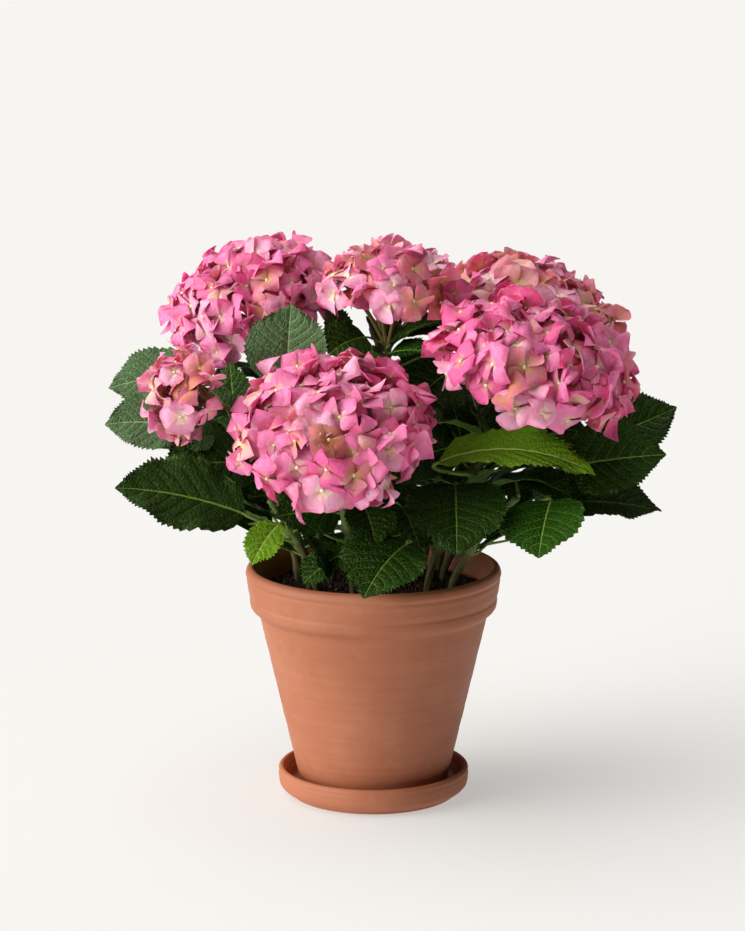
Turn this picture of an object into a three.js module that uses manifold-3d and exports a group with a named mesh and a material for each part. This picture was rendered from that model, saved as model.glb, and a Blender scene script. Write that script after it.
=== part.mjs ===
// Hydrangea shrub in a terracotta pot that stands in its saucer.
// Millimetres, +Z up. The origin is the centre of the saucer's flat underside.
//
// The shrub is a ring of shoots. Each shoot is a short bare stem that rises from the soil, a leafy
// mass that grows on from it, and on most shoots a domed flower head that stands on the mass.
import * as THREE from "three";
import { mergeVertices } from "three/addons/utils/BufferGeometryUtils.js";
import Module from "manifold-3d";

const wasm = await Module();
wasm.setup();

// ---------------------------------------------------------------- driving dimensions

const GAP = 0.3; // air left between neighbouring pieces

const SAUCER = {
  footRadius: 69, outerRadius: 78.8, chamfer: 9, height: 23.2, wall: 4.6, floor: 8, lip: 1.6,
};

const POT = {
  baseRadius: 60.3, // outside, at the underside
  slope: 0.2325, // growth of the outside radius for each millimetre up
  bodyTop: 149, // where the body runs into the collar
  collarFoot: 159, collarRadius: 100.8,
  rimRadius: 105, rimTop: 193, rimRound: 5,
  mouthRadius: 98, wall: 8, floor: 12, drainRadius: 9,
};
const POT_BASE = SAUCER.floor + GAP;
const ROUND_SIDES = 36;

const SOIL = { top: 176, dip: 4, rings: 4, sides: 20 };

const STEM = {
  footRadius: 5, joinRadius: 4, tipRadius: 2.6, sides: 6,
  join: 204, // height at which the bare stem meets its leafy mass
  lean: 1.5, // above 1 a shoot starts upright and leans more as it rises
};

// Each shoot runs from its foot in the soil to its tip, x, y and for the tip also z.
const SHOOTS = {
  front: { foot: [-16, -42], tip: [-30, -66, 284] },
  left_back: { foot: [-34, 26], tip: [-84, 92, 362] },
  centre: { foot: [6, 6], tip: [12, 14, 380] },
  right_back: { foot: [40, 34], tip: [126, 104, 340] },
  right_front: { foot: [44, -20], tip: [112, -34, 322] },
  left_small: { foot: [-52, -10], tip: [-116, -36, 330] },
  back: { foot: [4, 52], tip: [-12, 122, 246] },
  left_low: { foot: [-46, -34], tip: [-84, -66, 262] },
  left_side: { foot: [-62, 16], tip: [-112, 14, 318] },
  right_low: { foot: [62, -38], tip: [116, -54, 262] },
  right_side: { foot: [58, 30], tip: [146, 4, 286] },
  back_left: { foot: [-40, 56], tip: [-104, 120, 300] },
  back_right: { foot: [54, 54], tip: [112, 140, 262] },
};

// A head is a flattened dome round its axis: radius across it, its height as a share of the radius,
// and the polar angle in degrees at which the dome ends below. Where the dome is thin its rays show.
const HEADS = {
  front: { centre: [-33, -85, 315], axis: [-0.05, -0.5, 0.86], radius: 81, share: 0.66, cap: 100 },
  left_back: { centre: [-99, 108, 388], axis: [-0.33, -0.15, 0.93], radius: 75, share: 0.7, cap: 108 },
  centre: { centre: [14, 15, 411], axis: [0.05, -0.05, 1], radius: 57, share: 0.78, cap: 98, rays: 5 },
  right_back: { centre: [134, 114, 374], axis: [0.36, 0, 0.93], radius: 77, share: 0.66, cap: 104 },
  right_front: { centre: [126, -46, 362], axis: [0.3, -0.22, 0.92], radius: 82, share: 0.66, cap: 102 },
  left_small: { centre: [-148, -55, 346], axis: [-0.75, -0.45, 0.35], radius: 36, share: 0.85, cap: 112 },
  back: { centre: [-12, 162, 279], axis: [0, 0.55, 0.83], radius: 74, share: 0.72, cap: 108 },
};
const FLORET = {
  spacing: 47, // mean distance between florets on a large dome
  spacingShare: 0.85, // and on a small one, as a share of its radius
  reach: 0.54, // from the floret's middle to a petal's tip, as a share of the spacing
  notch: 0.56, // the cut between two petals, as a share of the reach
  seat: 0.96, // where the petals stand, as a share of the dome's size
  root: 0.5, // where the floret's stalk ends inside the core
  dish: 4, capMargin: 12,
};
const CORE = { share: 0.8, rings: 4, sides: 12, capMargin: 8, hollow: 8 };
const RAY = { radius: 2.2, spread: 0.6 };

const LEAF = {
  thickness: 2.4, fold: 12, // the two halves rise this many degrees from the midrib
  fullness: 0.6, tipFullness: 0.7, // powers of the outline towards the stalk and towards the tip
  rise: 0.35, // a leaf stalk climbs by this share of its reach, where the leaf has no rise of its own
  stalkRadius: 2.2, stalkInBlade: 8, footInStalk: 2.5, stalkSag: 0.06,
  stations: [0.1, 0.3, 0.55, 0.8],
};

// Large leaves that give the crown its outline. at is the height of the node on the stem, toward and
// reach place the end of the leaf stalk round it, heading, lift, bend and roll lay the blade.
const PLACED = {
  front: [
    { at: 244, toward: 125, reach: 7,
      heading: -158, lift: 12, bend: -20, roll: 50, length: 56, width: 48 },
    { at: 250, toward: -10, reach: 16,
      heading: -75, lift: -15, bend: -35, roll: 0, length: 47, width: 42 },
    { at: 210, toward: -42, reach: 62,
      heading: -128, lift: -12, bend: -38, roll: 12, length: 68, width: 74 },
    { at: 208, toward: -125, reach: 18,
      heading: -160, lift: -25, bend: -20, roll: 25, length: 36, width: 34 },
  ],
  left_back: [
    { at: 315, toward: -93, reach: 68,
      heading: 75, lift: 90, bend: -20, roll: 0, length: 70, width: 70 },
  ],
  centre: [
    { at: 374, toward: -170, reach: 18,
      heading: -140, lift: 5, bend: -40, roll: 35, length: 42, width: 42 },
    { at: 362, toward: -85, reach: 26,
      heading: -35, lift: 22, bend: -30, roll: -25, length: 36, width: 28 },
    { at: 376, toward: -40, reach: 20,
      heading: 10, lift: 16, bend: -25, roll: -15, length: 38, width: 22 },
    { at: 334, toward: 10, reach: 64,
      heading: -150, lift: -20, bend: -25, roll: 40, length: 58, width: 70 },
  ],
  right_front: [
    { at: 273, toward: 80, reach: 60,
      heading: 5, lift: 15, bend: -30, roll: -35, length: 89, width: 66 },
    { at: 262, toward: -110, reach: 27,
      heading: -90, lift: -10, bend: -45, roll: 0, length: 82, width: 82 },
    { at: 275, toward: -130, reach: 48,
      heading: -10, lift: 25, bend: -55, roll: -30, length: 132, width: 44 },
    { at: 290, toward: 150, reach: 20,
      heading: -165, lift: -5, bend: -30, roll: 35, length: 78, width: 62 },
    { at: 240, toward: 175, reach: 16,
      heading: -160, lift: 15, bend: -40, roll: 35, length: 66, width: 52 },
  ],
  left_low: [
    { at: 238, toward: -140, reach: 42,
      heading: -170, lift: 24, bend: -20, roll: 50, length: 108, width: 66 },
    { at: 235, toward: -102, reach: 34,
      heading: -130, lift: -25, bend: -30, roll: 25, length: 44, width: 30 },
  ],
  left_small: [
    { at: 272, toward: -150, reach: 12, rise: 8,
      heading: -160, lift: 20, bend: -40, roll: 40, length: 80, width: 74 },
  ],
  left_side: [
    { at: 316, toward: -20, reach: 17,
      heading: -165, lift: -5, bend: -20, roll: 45, length: 50, width: 42 },
    { at: 289, toward: -150, reach: 53,
      heading: 175, lift: 15, bend: -25, roll: 50, length: 76, width: 54 },
    { at: 318, toward: 155, reach: 34, rise: 24,
      heading: 170, lift: 5, bend: -25, roll: 45, length: 78, width: 56 },
    { at: 304, toward: -135, reach: 12,
      heading: 110, lift: 82, bend: -10, roll: 50, length: 52, width: 42 },
  ],
  right_low: [
    { at: 247, toward: -30, reach: 45,
      heading: -105, lift: -20, bend: -40, roll: -10, length: 59, width: 72 },
    { at: 236, toward: 10, reach: 48, heading: 5, lift: 5, bend: -20, roll: -20, length: 94, width: 62 },
  ],
  right_side: [
    { at: 261, toward: -45, reach: 44,
      heading: -10, lift: 15, bend: -10, roll: -55, length: 90, width: 66 },
    { at: 268, toward: 25, reach: 57,
      heading: 10, lift: 15, bend: 10, roll: -50, length: 80, width: 56 },
    { at: 208, toward: -5, reach: 45, rise: 14,
      heading: -150, lift: -5, bend: -15, roll: 10, length: 44, width: 34 },
  ],
};

// Leaves that fill the crown: pairs up every stem, each pair turned a quarter from the one below.
const FILL = {
  seed: 83, firstNode: 10, nodeStep: 20, tries: 60, shrink: 0.993, // each new try is this much smaller
  turnSpread: 50, reach: [14, 58], length: [66, 104], widthShare: 0.68,
  lift: [-5, 45], bend: [-65, -25], roll: [-20, 20],
};
// Room that a filling leaf keeps to everything else, and the space that it stays inside.
const ROOM = {
  leaf: 8, stalk: 6, stem: 7, head: 6, soil: 10, // distances from its blade and its stalk
  rimFrom: 88, rimTo: 114, rimHeight: 206, // the ring above the pot's rim that is kept free
  skirtHeight: 210, skirtSlope: 0.75, // no leaf hangs lower outside the rim, and less low to the sides
  front: -62, // only placed leaves lie further forward
  top: 352, outside: 212,
};
// Shares along and across a blade, and along a stalk, at which room is tested.
const SAMPLES = {
  along: [0.04, 0.15, 0.27, 0.39, 0.51, 0.63, 0.75, 0.87, 0.97],
  across: [-1, -0.66, -0.33, 0, 0.33, 0.66, 1],
  stalk: [0.3, 0.45, 0.6, 0.75, 0.9],
};

const COLOURS = {
  terracotta: 0xb96f4e, saucer: 0xbd7350, soil: 0x2b211b, stem: 0x6b7a3a, leaf: 0x2c5a2b, flower: 0xe884ad,
};

// ---------------------------------------------------------------- small helpers

const radians = THREE.MathUtils.degToRad;
const vector = (list) => new THREE.Vector3(...list);
const UP = new THREE.Vector3(0, 0, 1);

// Repeatable numbers between low and high.
function numberSource(seed) {
  let state = seed;
  return (low, high) => {
    state = (state * 1664525 + 1013904223) % 4294967296;
    return low + ((high - low) * state) / 4294967296;
  };
}

// A closed skin over rings of equal count, each counter-clockwise about the way from start to end.
function skin(rings, start, end) {
  const count = rings[0].length;
  const points = [start, end, ...rings.flat()];
  const at = (ring, j) => 2 + ring * count + (j % count);
  const last = rings.length - 1;
  const faces = [];
  for (let j = 0; j < count; j++) {
    faces.push(0, at(0, j + 1), at(0, j));
    faces.push(1, at(last, j), at(last, j + 1));
    for (let i = 0; i < last; i++) {
      faces.push(at(i, j), at(i, j + 1), at(i + 1, j + 1));
      faces.push(at(i, j), at(i + 1, j + 1), at(i + 1, j));
    }
  }
  const geometry = new THREE.BufferGeometry().setFromPoints(points);
  return geometry.setIndex(faces);
}

// A manifold solid of a closed geometry.
function solid(geometry) {
  const bare = new THREE.BufferGeometry();
  bare.setAttribute("position", geometry.getAttribute("position"));
  bare.setIndex(geometry.getIndex());
  const merged = mergeVertices(bare, 1e-3);
  const corners = merged.index.array;
  const kept = [];
  for (let i = 0; i < corners.length; i += 3) {
    const [a, b, c] = corners.slice(i, i + 3);
    if (a !== b && b !== c && c !== a) kept.push(a, b, c);
  }
  return new wasm.Manifold(
    new wasm.Mesh({
      numProp: 3,
      vertProperties: new Float32Array(merged.attributes.position.array),
      triVerts: new Uint32Array(kept),
    }),
  );
}

// Solids joined into one, of which only the largest closed body is kept.
function fuse(solids) {
  const whole = solids.reduce((joined, next) => joined.add(next)).simplify(0.02);
  const bodies = whole.decompose();
  return bodies.reduce((best, body) => (body.volume() > best.volume() ? body : best));
}

function geometryOf(made) {
  const mesh = made.getMesh();
  const geometry = new THREE.BufferGeometry();
  geometry.setAttribute("position", new THREE.BufferAttribute(mesh.vertProperties, 3));
  geometry.setIndex(new THREE.BufferAttribute(mesh.triVerts, 1));
  geometry.computeVertexNormals();
  return geometry;
}

// Two directions that with axis make a right-handed frame.
function across(axis) {
  const first = new THREE.Vector3().crossVectors(axis, new THREE.Vector3(0.01, 1, 0.02)).normalize();
  return [first, new THREE.Vector3().crossVectors(axis, first)];
}

// A round limb through points with a radius at each. Its rings stand square to it, but for level ones.
function limb(points, radii, sides, levelRings = []) {
  const rings = points.map((point, i) => {
    const before = points[Math.max(i - 1, 0)];
    const after = points[Math.min(i + 1, points.length - 1)];
    const way = new THREE.Vector3().subVectors(after, before).normalize();
    const [first, second] = across(levelRings.includes(i) ? UP : way);
    return Array.from({ length: sides }, (_, j) => {
      const turn = (2 * Math.PI * j) / sides;
      return point
        .clone()
        .addScaledVector(first, radii[i] * Math.cos(turn))
        .addScaledVector(second, radii[i] * Math.sin(turn));
    });
  });
  return skin(rings, points[0], points[points.length - 1]);
}

// ---------------------------------------------------------------- pot, saucer and soil

// A solid of revolution about Z from a profile of [radius, height] points.
function turned(profile, sides = ROUND_SIDES) {
  const outline = profile.map(([radius, height]) => new THREE.Vector2(radius, height));
  return new THREE.LatheGeometry(outline, sides).rotateX(Math.PI / 2);
}

function potOutside(height) {
  return POT.baseRadius + POT.slope * (height - POT_BASE);
}

function potInside(height) {
  const neck = POT.rimTop - 8;
  if (height <= neck) return potOutside(height) - POT.wall;
  return THREE.MathUtils.mapLinear(height, neck, POT.rimTop, potOutside(neck) - POT.wall, POT.mouthRadius);
}

function potShape() {
  const { rimRadius, rimTop, rimRound, collarFoot, collarRadius, bodyTop, mouthRadius } = POT;
  const floor = POT_BASE + POT.floor;
  const profile = [
    [POT.drainRadius, POT_BASE],
    [POT.baseRadius - 2, POT_BASE],
    [potOutside(POT_BASE + 2), POT_BASE + 2],
    [potOutside(bodyTop), bodyTop],
    [potOutside(bodyTop) + 1.4, bodyTop + 4.5],
    [collarRadius - 2.2, collarFoot - 2.5],
    [collarRadius, collarFoot],
    [rimRadius, rimTop - rimRound - 1],
    [rimRadius - 1.4, rimTop - 1.8],
    [rimRadius - rimRound, rimTop],
    [mouthRadius + 1, rimTop - 0.4],
    [mouthRadius - 1, rimTop - 3],
    [potInside(rimTop - 8), rimTop - 8],
    [potInside(floor), floor],
    [POT.drainRadius, floor],
  ];
  return turned([...profile, profile[0]]);
}

function saucerShape() {
  const { footRadius, outerRadius, chamfer, height, wall, floor, lip } = SAUCER;
  const inside = outerRadius - wall;
  return turned([
    [0, 0],
    [footRadius, 0],
    [outerRadius - 1.5, chamfer],
    [outerRadius, chamfer + 3],
    [outerRadius, height - lip],
    [outerRadius - lip, height],
    [inside + lip / 2, height],
    [inside, height - lip],
    [inside - 5, floor],
    [0, floor],
  ]);
}

// Soil that fills the pot; its top sinks a little, here and there, between the stems.
function soilShape() {
  const bottom = POT_BASE + POT.floor + GAP;
  const edge = (height) => potInside(height) - 2 * GAP;
  const profile = [[0, bottom], [edge(bottom), bottom], [edge(SOIL.top - SOIL.dip), SOIL.top - SOIL.dip]];
  for (let ring = SOIL.rings; ring >= 1; ring--) {
    profile.push([(edge(SOIL.top - SOIL.dip) * ring) / (SOIL.rings + 0.3), SOIL.top]);
  }
  profile.push([0, SOIL.top]);
  const geometry = turned(profile, SOIL.sides);
  const position = geometry.getAttribute("position");
  for (let i = 0; i < position.count; i++) {
    if (position.getZ(i) < SOIL.top) continue;
    const wave = Math.sin(0.11 * position.getX(i) + 1) * Math.cos(0.13 * position.getY(i));
    position.setZ(i, SOIL.top - SOIL.dip * Math.max(0, wave));
  }
  return geometry;
}

// ---------------------------------------------------------------- stems

// The point of a shoot's stem at a height.
function stemAt(shoot, height) {
  const along = Math.max(0, (height - SOIL.top) / (shoot.tip[2] - SOIL.top)) ** STEM.lean;
  return new THREE.Vector3(
    THREE.MathUtils.lerp(shoot.foot[0], shoot.tip[0], along),
    THREE.MathUtils.lerp(shoot.foot[1], shoot.tip[1], along),
    height,
  );
}

function stemPoints(shoot, from, to, count) {
  const step = (to - from) / (count - 1);
  return Array.from({ length: count }, (_, i) => stemAt(shoot, from + i * step));
}

function bareStem(shoot) {
  const points = stemPoints(shoot, SOIL.top + GAP, STEM.join, 3);
  const middle = (STEM.footRadius + STEM.joinRadius) / 2;
  return limb(points, [STEM.footRadius, middle, STEM.joinRadius], STEM.sides, [0, 2]);
}

function leafyStem(shoot) {
  const points = stemPoints(shoot, STEM.join + GAP, shoot.tip[2], 5);
  const radii = points.map((_, i) => THREE.MathUtils.lerp(STEM.joinRadius, STEM.tipRadius, i / 4));
  return limb(points, radii, STEM.sides, [0]);
}

// ---------------------------------------------------------------- leaves

// Half the blade's width, as a share of its largest, at a share of its length.
function outline(share) {
  const { fullness: a, tipFullness: b } = LEAF;
  const peak = (a / (a + b)) ** a * (b / (a + b)) ** b;
  return (share ** a * (1 - share) ** b) / peak;
}

// The place, the way on, the side and the upper face of a leaf's midrib at a share of its length.
function midrib(leaf, share) {
  const heading = radians(leaf.heading);
  const lift = radians(leaf.lift);
  const bend = radians(leaf.bend);
  const slope = lift + bend * share;
  const forward = ((Math.sin(slope) - Math.sin(lift)) / bend) * leaf.length;
  const upward = (-(Math.cos(slope) - Math.cos(lift)) / bend) * leaf.length;
  const ahead = new THREE.Vector3(Math.cos(heading), Math.sin(heading), 0);
  const way = ahead.clone().multiplyScalar(Math.cos(slope)).addScaledVector(UP, Math.sin(slope));
  const flatSide = new THREE.Vector3(Math.sin(heading), -Math.cos(heading), 0);
  const flatFace = new THREE.Vector3().crossVectors(flatSide, way);
  const roll = radians(leaf.roll);
  return {
    place: leaf.base.clone().addScaledVector(ahead, forward).addScaledVector(UP, upward),
    way,
    side: flatSide.clone().multiplyScalar(Math.cos(roll)).addScaledVector(flatFace, Math.sin(roll)),
    face: flatFace.clone().multiplyScalar(Math.cos(roll)).addScaledVector(flatSide, -Math.sin(roll)),
  };
}

// A point of the blade, sideways from -1 to 1 across it; each half rises from the midrib.
function bladePoint(leaf, share, sideways) {
  const { place, side, face } = midrib(leaf, share);
  const half = (leaf.width / 2) * outline(share) * sideways;
  const fold = radians(LEAF.fold);
  return place
    .addScaledVector(side, half * Math.cos(fold))
    .addScaledVector(face, Math.abs(half) * Math.sin(fold));
}

function bladeShape(leaf) {
  const rings = LEAF.stations.map((share) => {
    const { place, face } = midrib(leaf, share);
    return [
      bladePoint(leaf, share, -1),
      place.clone().addScaledVector(face, LEAF.thickness / 2),
      bladePoint(leaf, share, 1),
      place.clone().addScaledVector(face, -LEAF.thickness / 2),
    ];
  });
  const foot = midrib(leaf, 0);
  return skin(rings, foot.place.addScaledVector(foot.way, -LEAF.footInStalk), midrib(leaf, 1).place);
}

// The leaf stalk's curve, from the stem to the foot of the blade.
function stalkPoint(leaf, share) {
  const point = new THREE.Vector3().lerpVectors(leaf.node, leaf.base, share);
  const sag = LEAF.stalkSag * leaf.node.distanceTo(leaf.base);
  return point.addScaledVector(UP, -4 * share * (1 - share) * sag);
}

// The solid stalk runs on under the midrib, or where the blade turns back over it just past its foot.
function stalkShape(leaf) {
  const ahead = leaf.base.clone().sub(leaf.node).normalize();
  const way = midrib(leaf, 0).way;
  const turnsBack = ahead.dot(way) < 0.3;
  const end = leaf.base.clone().addScaledVector(turnsBack ? ahead : way, turnsBack ? 2 : LEAF.stalkInBlade);
  const thick = LEAF.stalkRadius;
  return limb([leaf.node, leaf.base, end], [thick, thick, turnsBack ? thick : 0.5 * thick], 3);
}

// A leaf's numbers with its node on the stem and the foot of its blade worked out.
function leafOn(shoot, numbers) {
  const node = stemAt(shoot, numbers.at);
  const toward = radians(numbers.toward);
  const reach = numbers.reach;
  const rise = numbers.rise ?? LEAF.rise * reach;
  const step = new THREE.Vector3(reach * Math.cos(toward), reach * Math.sin(toward), rise);
  const leaf = { ...numbers, shoot, node, base: node.clone().add(step) };
  const row = (share) => SAMPLES.across.map((sideways) => bladePoint(leaf, share, sideways));
  leaf.blade = SAMPLES.along.flatMap(row);
  leaf.stalk = SAMPLES.stalk.map((share) => stalkPoint(leaf, share));
  return leaf;
}

function near(points, others, room) {
  return points.some((point) => others.some((other) => point.distanceToSquared(other) < room * room));
}

// True where a point is inside a head's dome grown by room.
function insideHead(head, point, room) {
  const offset = point.clone().sub(vector(head.centre));
  const along = offset.dot(vector(head.axis).normalize());
  const aside = Math.sqrt(Math.max(0, offset.lengthSq() - along * along));
  const height = head.radius * head.share;
  const low = Math.cos(radians(head.cap)) * height - room;
  return along > low && (aside / (head.radius + room)) ** 2 + (along / (height + room)) ** 2 < 1;
}

// Whether a filling leaf has the room that it needs among the leaves, stems and heads so far.
function hasRoom(leaf, leaves, stems) {
  const all = [...leaf.blade, ...leaf.stalk];
  const outside = all.some((point) => {
    const radius = Math.hypot(point.x, point.y);
    if (point.z < SOIL.top + ROOM.soil || point.z > ROOM.top) return true;
    if (radius > ROOM.outside || point.y < ROOM.front) return true;
    if (radius > ROOM.rimFrom && radius < ROOM.rimTo && point.z < ROOM.rimHeight) return true;
    const beyond = Math.max(0, Math.max(Math.abs(point.x), -point.y) - ROOM.rimTo);
    return radius > ROOM.rimTo && point.z < ROOM.skirtHeight + ROOM.skirtSlope * beyond;
  });
  if (outside) return false;
  const hidden = (head) => all.some((point) => insideHead(head, point, ROOM.head));
  if (Object.values(HEADS).some(hidden)) return false;
  const foreign = stems.filter((stem) => stem.shoot !== leaf.shoot);
  if (foreign.some((stem) => near(all, stem.points, ROOM.stem))) return false;
  const own = stems.find((stem) => stem.shoot === leaf.shoot);
  if (near(leaf.blade, own.points, ROOM.stem)) return false;
  const crowded = (other) =>
    near(leaf.blade, other.blade, ROOM.leaf) ||
    near(leaf.stalk, other.stalk, ROOM.stalk) ||
    near(leaf.blade, other.stalk, ROOM.stalk) ||
    near(leaf.stalk, other.blade, ROOM.stalk);
  return !leaves.some(crowded);
}

// All leaves of the shrub: the placed ones, then pairs up each stem where a leaf finds room.
function growLeaves() {
  const shoots = Object.entries(SHOOTS);
  const placed = shoots.flatMap(([name, shoot]) =>
    (PLACED[name] ?? []).map((leaf) => leafOn(shoot, leaf)),
  );
  const stems = shoots.map(([name, shoot]) => {
    const points = stemPoints(shoot, SOIL.top, shoot.tip[2], 24);
    const top = HEADS[name] ? vector(HEADS[name].centre) : vector(shoot.tip);
    for (let i = 1; i <= 8; i++) points.push(vector(shoot.tip).lerp(top, i / 8));
    return { shoot, points };
  });
  const draw = numberSource(FILL.seed);
  const turns = shoots.map(() => draw(0, 180));
  const leaves = [...placed];
  for (let level = 0; STEM.join + FILL.firstNode + level * FILL.nodeStep < ROOM.top; level++) {
    const at = STEM.join + FILL.firstNode + level * FILL.nodeStep;
    shoots.forEach(([, shoot], index) => {
      if (at > shoot.tip[2] - 4) return;
      const turn = turns[index] + 90 * level;
      for (const half of [0, 180]) {
        for (let attempt = 0; attempt < FILL.tries; attempt++) {
          const toward = turn + half + draw(-FILL.turnSpread, FILL.turnSpread);
          const length = draw(...FILL.length) * FILL.shrink ** attempt;
          const leaf = leafOn(shoot, {
            at, toward, heading: toward, reach: draw(...FILL.reach), lift: draw(...FILL.lift),
            bend: draw(...FILL.bend), roll: draw(...FILL.roll), length, width: FILL.widthShare * length,
          });
          if (!hasRoom(leaf, leaves, stems)) continue;
          leaves.push(leaf);
          break;
        }
      }
    });
  }
  return leaves;
}

function leafMass(shoot, leaves) {
  const own = leaves.filter((leaf) => leaf.shoot === shoot);
  const pieces = own.flatMap((leaf) => [stalkShape(leaf), bladeShape(leaf)]);
  return fuse([leafyStem(shoot), ...pieces].map(solid));
}

// ---------------------------------------------------------------- flower heads

// A head's frame: its middle, its axis and two directions across it.
function headFrame(head) {
  const axis = vector(head.axis).normalize();
  const [first, second] = across(axis);
  return { middle: vector(head.centre), axis, first, second };
}

// A point of the dome at a polar angle and a turn, in radians, at a share of the full size.
function domePoint(head, frame, polar, turn, share) {
  const aside = head.radius * share * Math.sin(polar);
  return frame.middle
    .clone()
    .addScaledVector(frame.axis, head.radius * head.share * share * Math.cos(polar))
    .addScaledVector(frame.first, aside * Math.cos(turn))
    .addScaledVector(frame.second, aside * Math.sin(turn));
}

function coreShape(head, frame) {
  const cap = radians(head.cap - CORE.capMargin);
  const rings = Array.from({ length: CORE.rings }, (_, i) =>
    Array.from({ length: CORE.sides }, (_, j) =>
      domePoint(
        head, frame, (cap * (CORE.rings - i)) / CORE.rings, (2 * Math.PI * j) / CORE.sides, CORE.share,
      )),
  );
  const edge = domePoint(head, frame, cap, 0, CORE.share).sub(frame.middle);
  const underside = edge.dot(frame.axis) + CORE.hollow;
  return skin(
    rings,
    frame.middle.clone().addScaledVector(frame.axis, underside),
    domePoint(head, frame, 0, 0, CORE.share),
  );
}

function floretSpacing(head) {
  return Math.min(FLORET.spacing, FLORET.spacingShare * head.radius);
}

// A four-petalled floret on a stalk that narrows to a point inside the core.
function floretShape(head, frame, polar, turn, spin) {
  const middle = domePoint(head, frame, polar, turn, FLORET.seat);
  const along = head.radius * head.share * FLORET.seat * Math.cos(polar);
  const away = middle
    .clone()
    .sub(frame.middle)
    .addScaledVector(frame.axis, (1 / head.share ** 2 - 1) * along)
    .normalize();
  const [first, second] = across(away);
  const reach = floretSpacing(head) * FLORET.reach;
  const rim = Array.from({ length: 8 }, (_, j) => {
    const angle = spin + (Math.PI * j) / 4;
    const radius = j % 2 ? reach * FLORET.notch : reach;
    return middle
      .clone()
      .addScaledVector(first, radius * Math.cos(angle))
      .addScaledVector(second, radius * Math.sin(angle));
  });
  const root = domePoint(head, frame, Math.min(polar, Math.PI / 2), turn, FLORET.root);
  return skin([rim], root, middle.addScaledVector(away, -FLORET.dish));
}

function headShape(head, shoot) {
  const frame = headFrame(head);
  const cap = radians(head.cap - FLORET.capMargin);
  const area = 2 * Math.PI * head.radius ** 2 * (1 - Math.cos(cap)) * (0.4 + 0.6 * head.share);
  const count = Math.round(area / floretSpacing(head) ** 2);
  const golden = Math.PI * (3 - Math.sqrt(5));
  const florets = Array.from({ length: count }, (_, i) => {
    const polar = Math.acos(1 - ((1 - Math.cos(cap)) * (i + 0.5)) / count);
    return floretShape(head, frame, polar, i * golden, i);
  });
  const tip = vector(shoot.tip);
  const way = tip.clone().sub(stemAt(shoot, shoot.tip[2] - 2)).normalize();
  const start = tip.clone().addScaledVector(way, GAP);
  const straight = start.clone().addScaledVector(way, 2);
  const fork = start.clone().lerp(frame.middle, 0.35);
  const stalk = limb([start, straight, fork, frame.middle], Array(4).fill(STEM.tipRadius), 5);
  const rays = Array.from({ length: head.rays ?? 0 }, (_, i) => {
    const end = domePoint(head, frame, Math.PI / 2, (2 * Math.PI * i) / head.rays, RAY.spread);
    return limb([fork, end.addScaledVector(frame.axis, 4)], [RAY.radius, RAY.radius], 3);
  });
  return fuse([coreShape(head, frame), stalk, ...rays, ...florets].map(solid));
}

// ---------------------------------------------------------------- the plant

const root = new THREE.Group();
root.name = "hydrangea_shrub";

function addPiece(name, geometry, colour, roughness) {
  const finish = new THREE.MeshStandardMaterial({ color: colour, roughness, metalness: 0 });
  const piece = new THREE.Mesh(geometry, finish);
  piece.name = name;
  root.add(piece);
}

addPiece("saucer", geometryOf(solid(saucerShape())), COLOURS.saucer, 0.85);
addPiece("pot", geometryOf(solid(potShape())), COLOURS.terracotta, 0.85);
addPiece("soil", geometryOf(solid(soilShape())), COLOURS.soil, 1);

const leaves = growLeaves();
for (const [name, shoot] of Object.entries(SHOOTS)) {
  addPiece("stem_" + name, geometryOf(solid(bareStem(shoot))), COLOURS.stem, 0.7);
  addPiece("leaves_" + name, geometryOf(leafMass(shoot, leaves)), COLOURS.leaf, 0.5);
}
for (const [name, head] of Object.entries(HEADS)) {
  addPiece("flower_" + name, geometryOf(headShape(head, SHOOTS[name])), COLOURS.flower, 0.6);
}

export default root;
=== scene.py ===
"""A mophead hydrangea in a thrown clay pot on its saucer, dressed from the pot to the petals.

Lengths are millimetres and angles degrees until a mesh is written, which is in metres. The origin
is the centre of the saucer's underside, Z is up and the shrub's front looks along -Y.
"""

from __future__ import annotations

import logging
import math
from dataclasses import dataclass, field, replace
from enum import Enum

import bpy
import numpy as np
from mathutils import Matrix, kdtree

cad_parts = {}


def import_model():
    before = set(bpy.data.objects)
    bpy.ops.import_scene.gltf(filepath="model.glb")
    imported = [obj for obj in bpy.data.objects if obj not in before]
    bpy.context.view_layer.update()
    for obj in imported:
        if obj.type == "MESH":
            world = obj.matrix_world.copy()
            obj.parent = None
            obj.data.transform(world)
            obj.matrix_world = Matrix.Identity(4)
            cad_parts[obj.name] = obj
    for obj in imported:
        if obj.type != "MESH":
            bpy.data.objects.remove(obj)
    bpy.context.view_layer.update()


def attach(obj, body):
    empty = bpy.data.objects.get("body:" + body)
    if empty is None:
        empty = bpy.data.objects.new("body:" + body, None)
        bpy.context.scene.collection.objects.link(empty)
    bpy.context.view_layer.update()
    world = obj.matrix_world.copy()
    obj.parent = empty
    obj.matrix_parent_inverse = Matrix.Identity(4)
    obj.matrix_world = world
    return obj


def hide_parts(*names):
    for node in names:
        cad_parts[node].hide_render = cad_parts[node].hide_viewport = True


Array = np.ndarray
Colour = tuple[float, float, float]
Corners = list[tuple[float, float]]
Socket = bpy.types.NodeSocket

LOG = logging.getLogger("hydrangea")
MILLIMETRE = 0.001
GOLDEN_ANGLE = math.pi * (3 - math.sqrt(5))
UP = np.array([0.0, 0.0, 1.0])
# a path whose slope is over this share of upright counts as steep
STEEP = 0.8
BODY = "root"


# ---------------------------------------------------------------- shapes on grids


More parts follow.
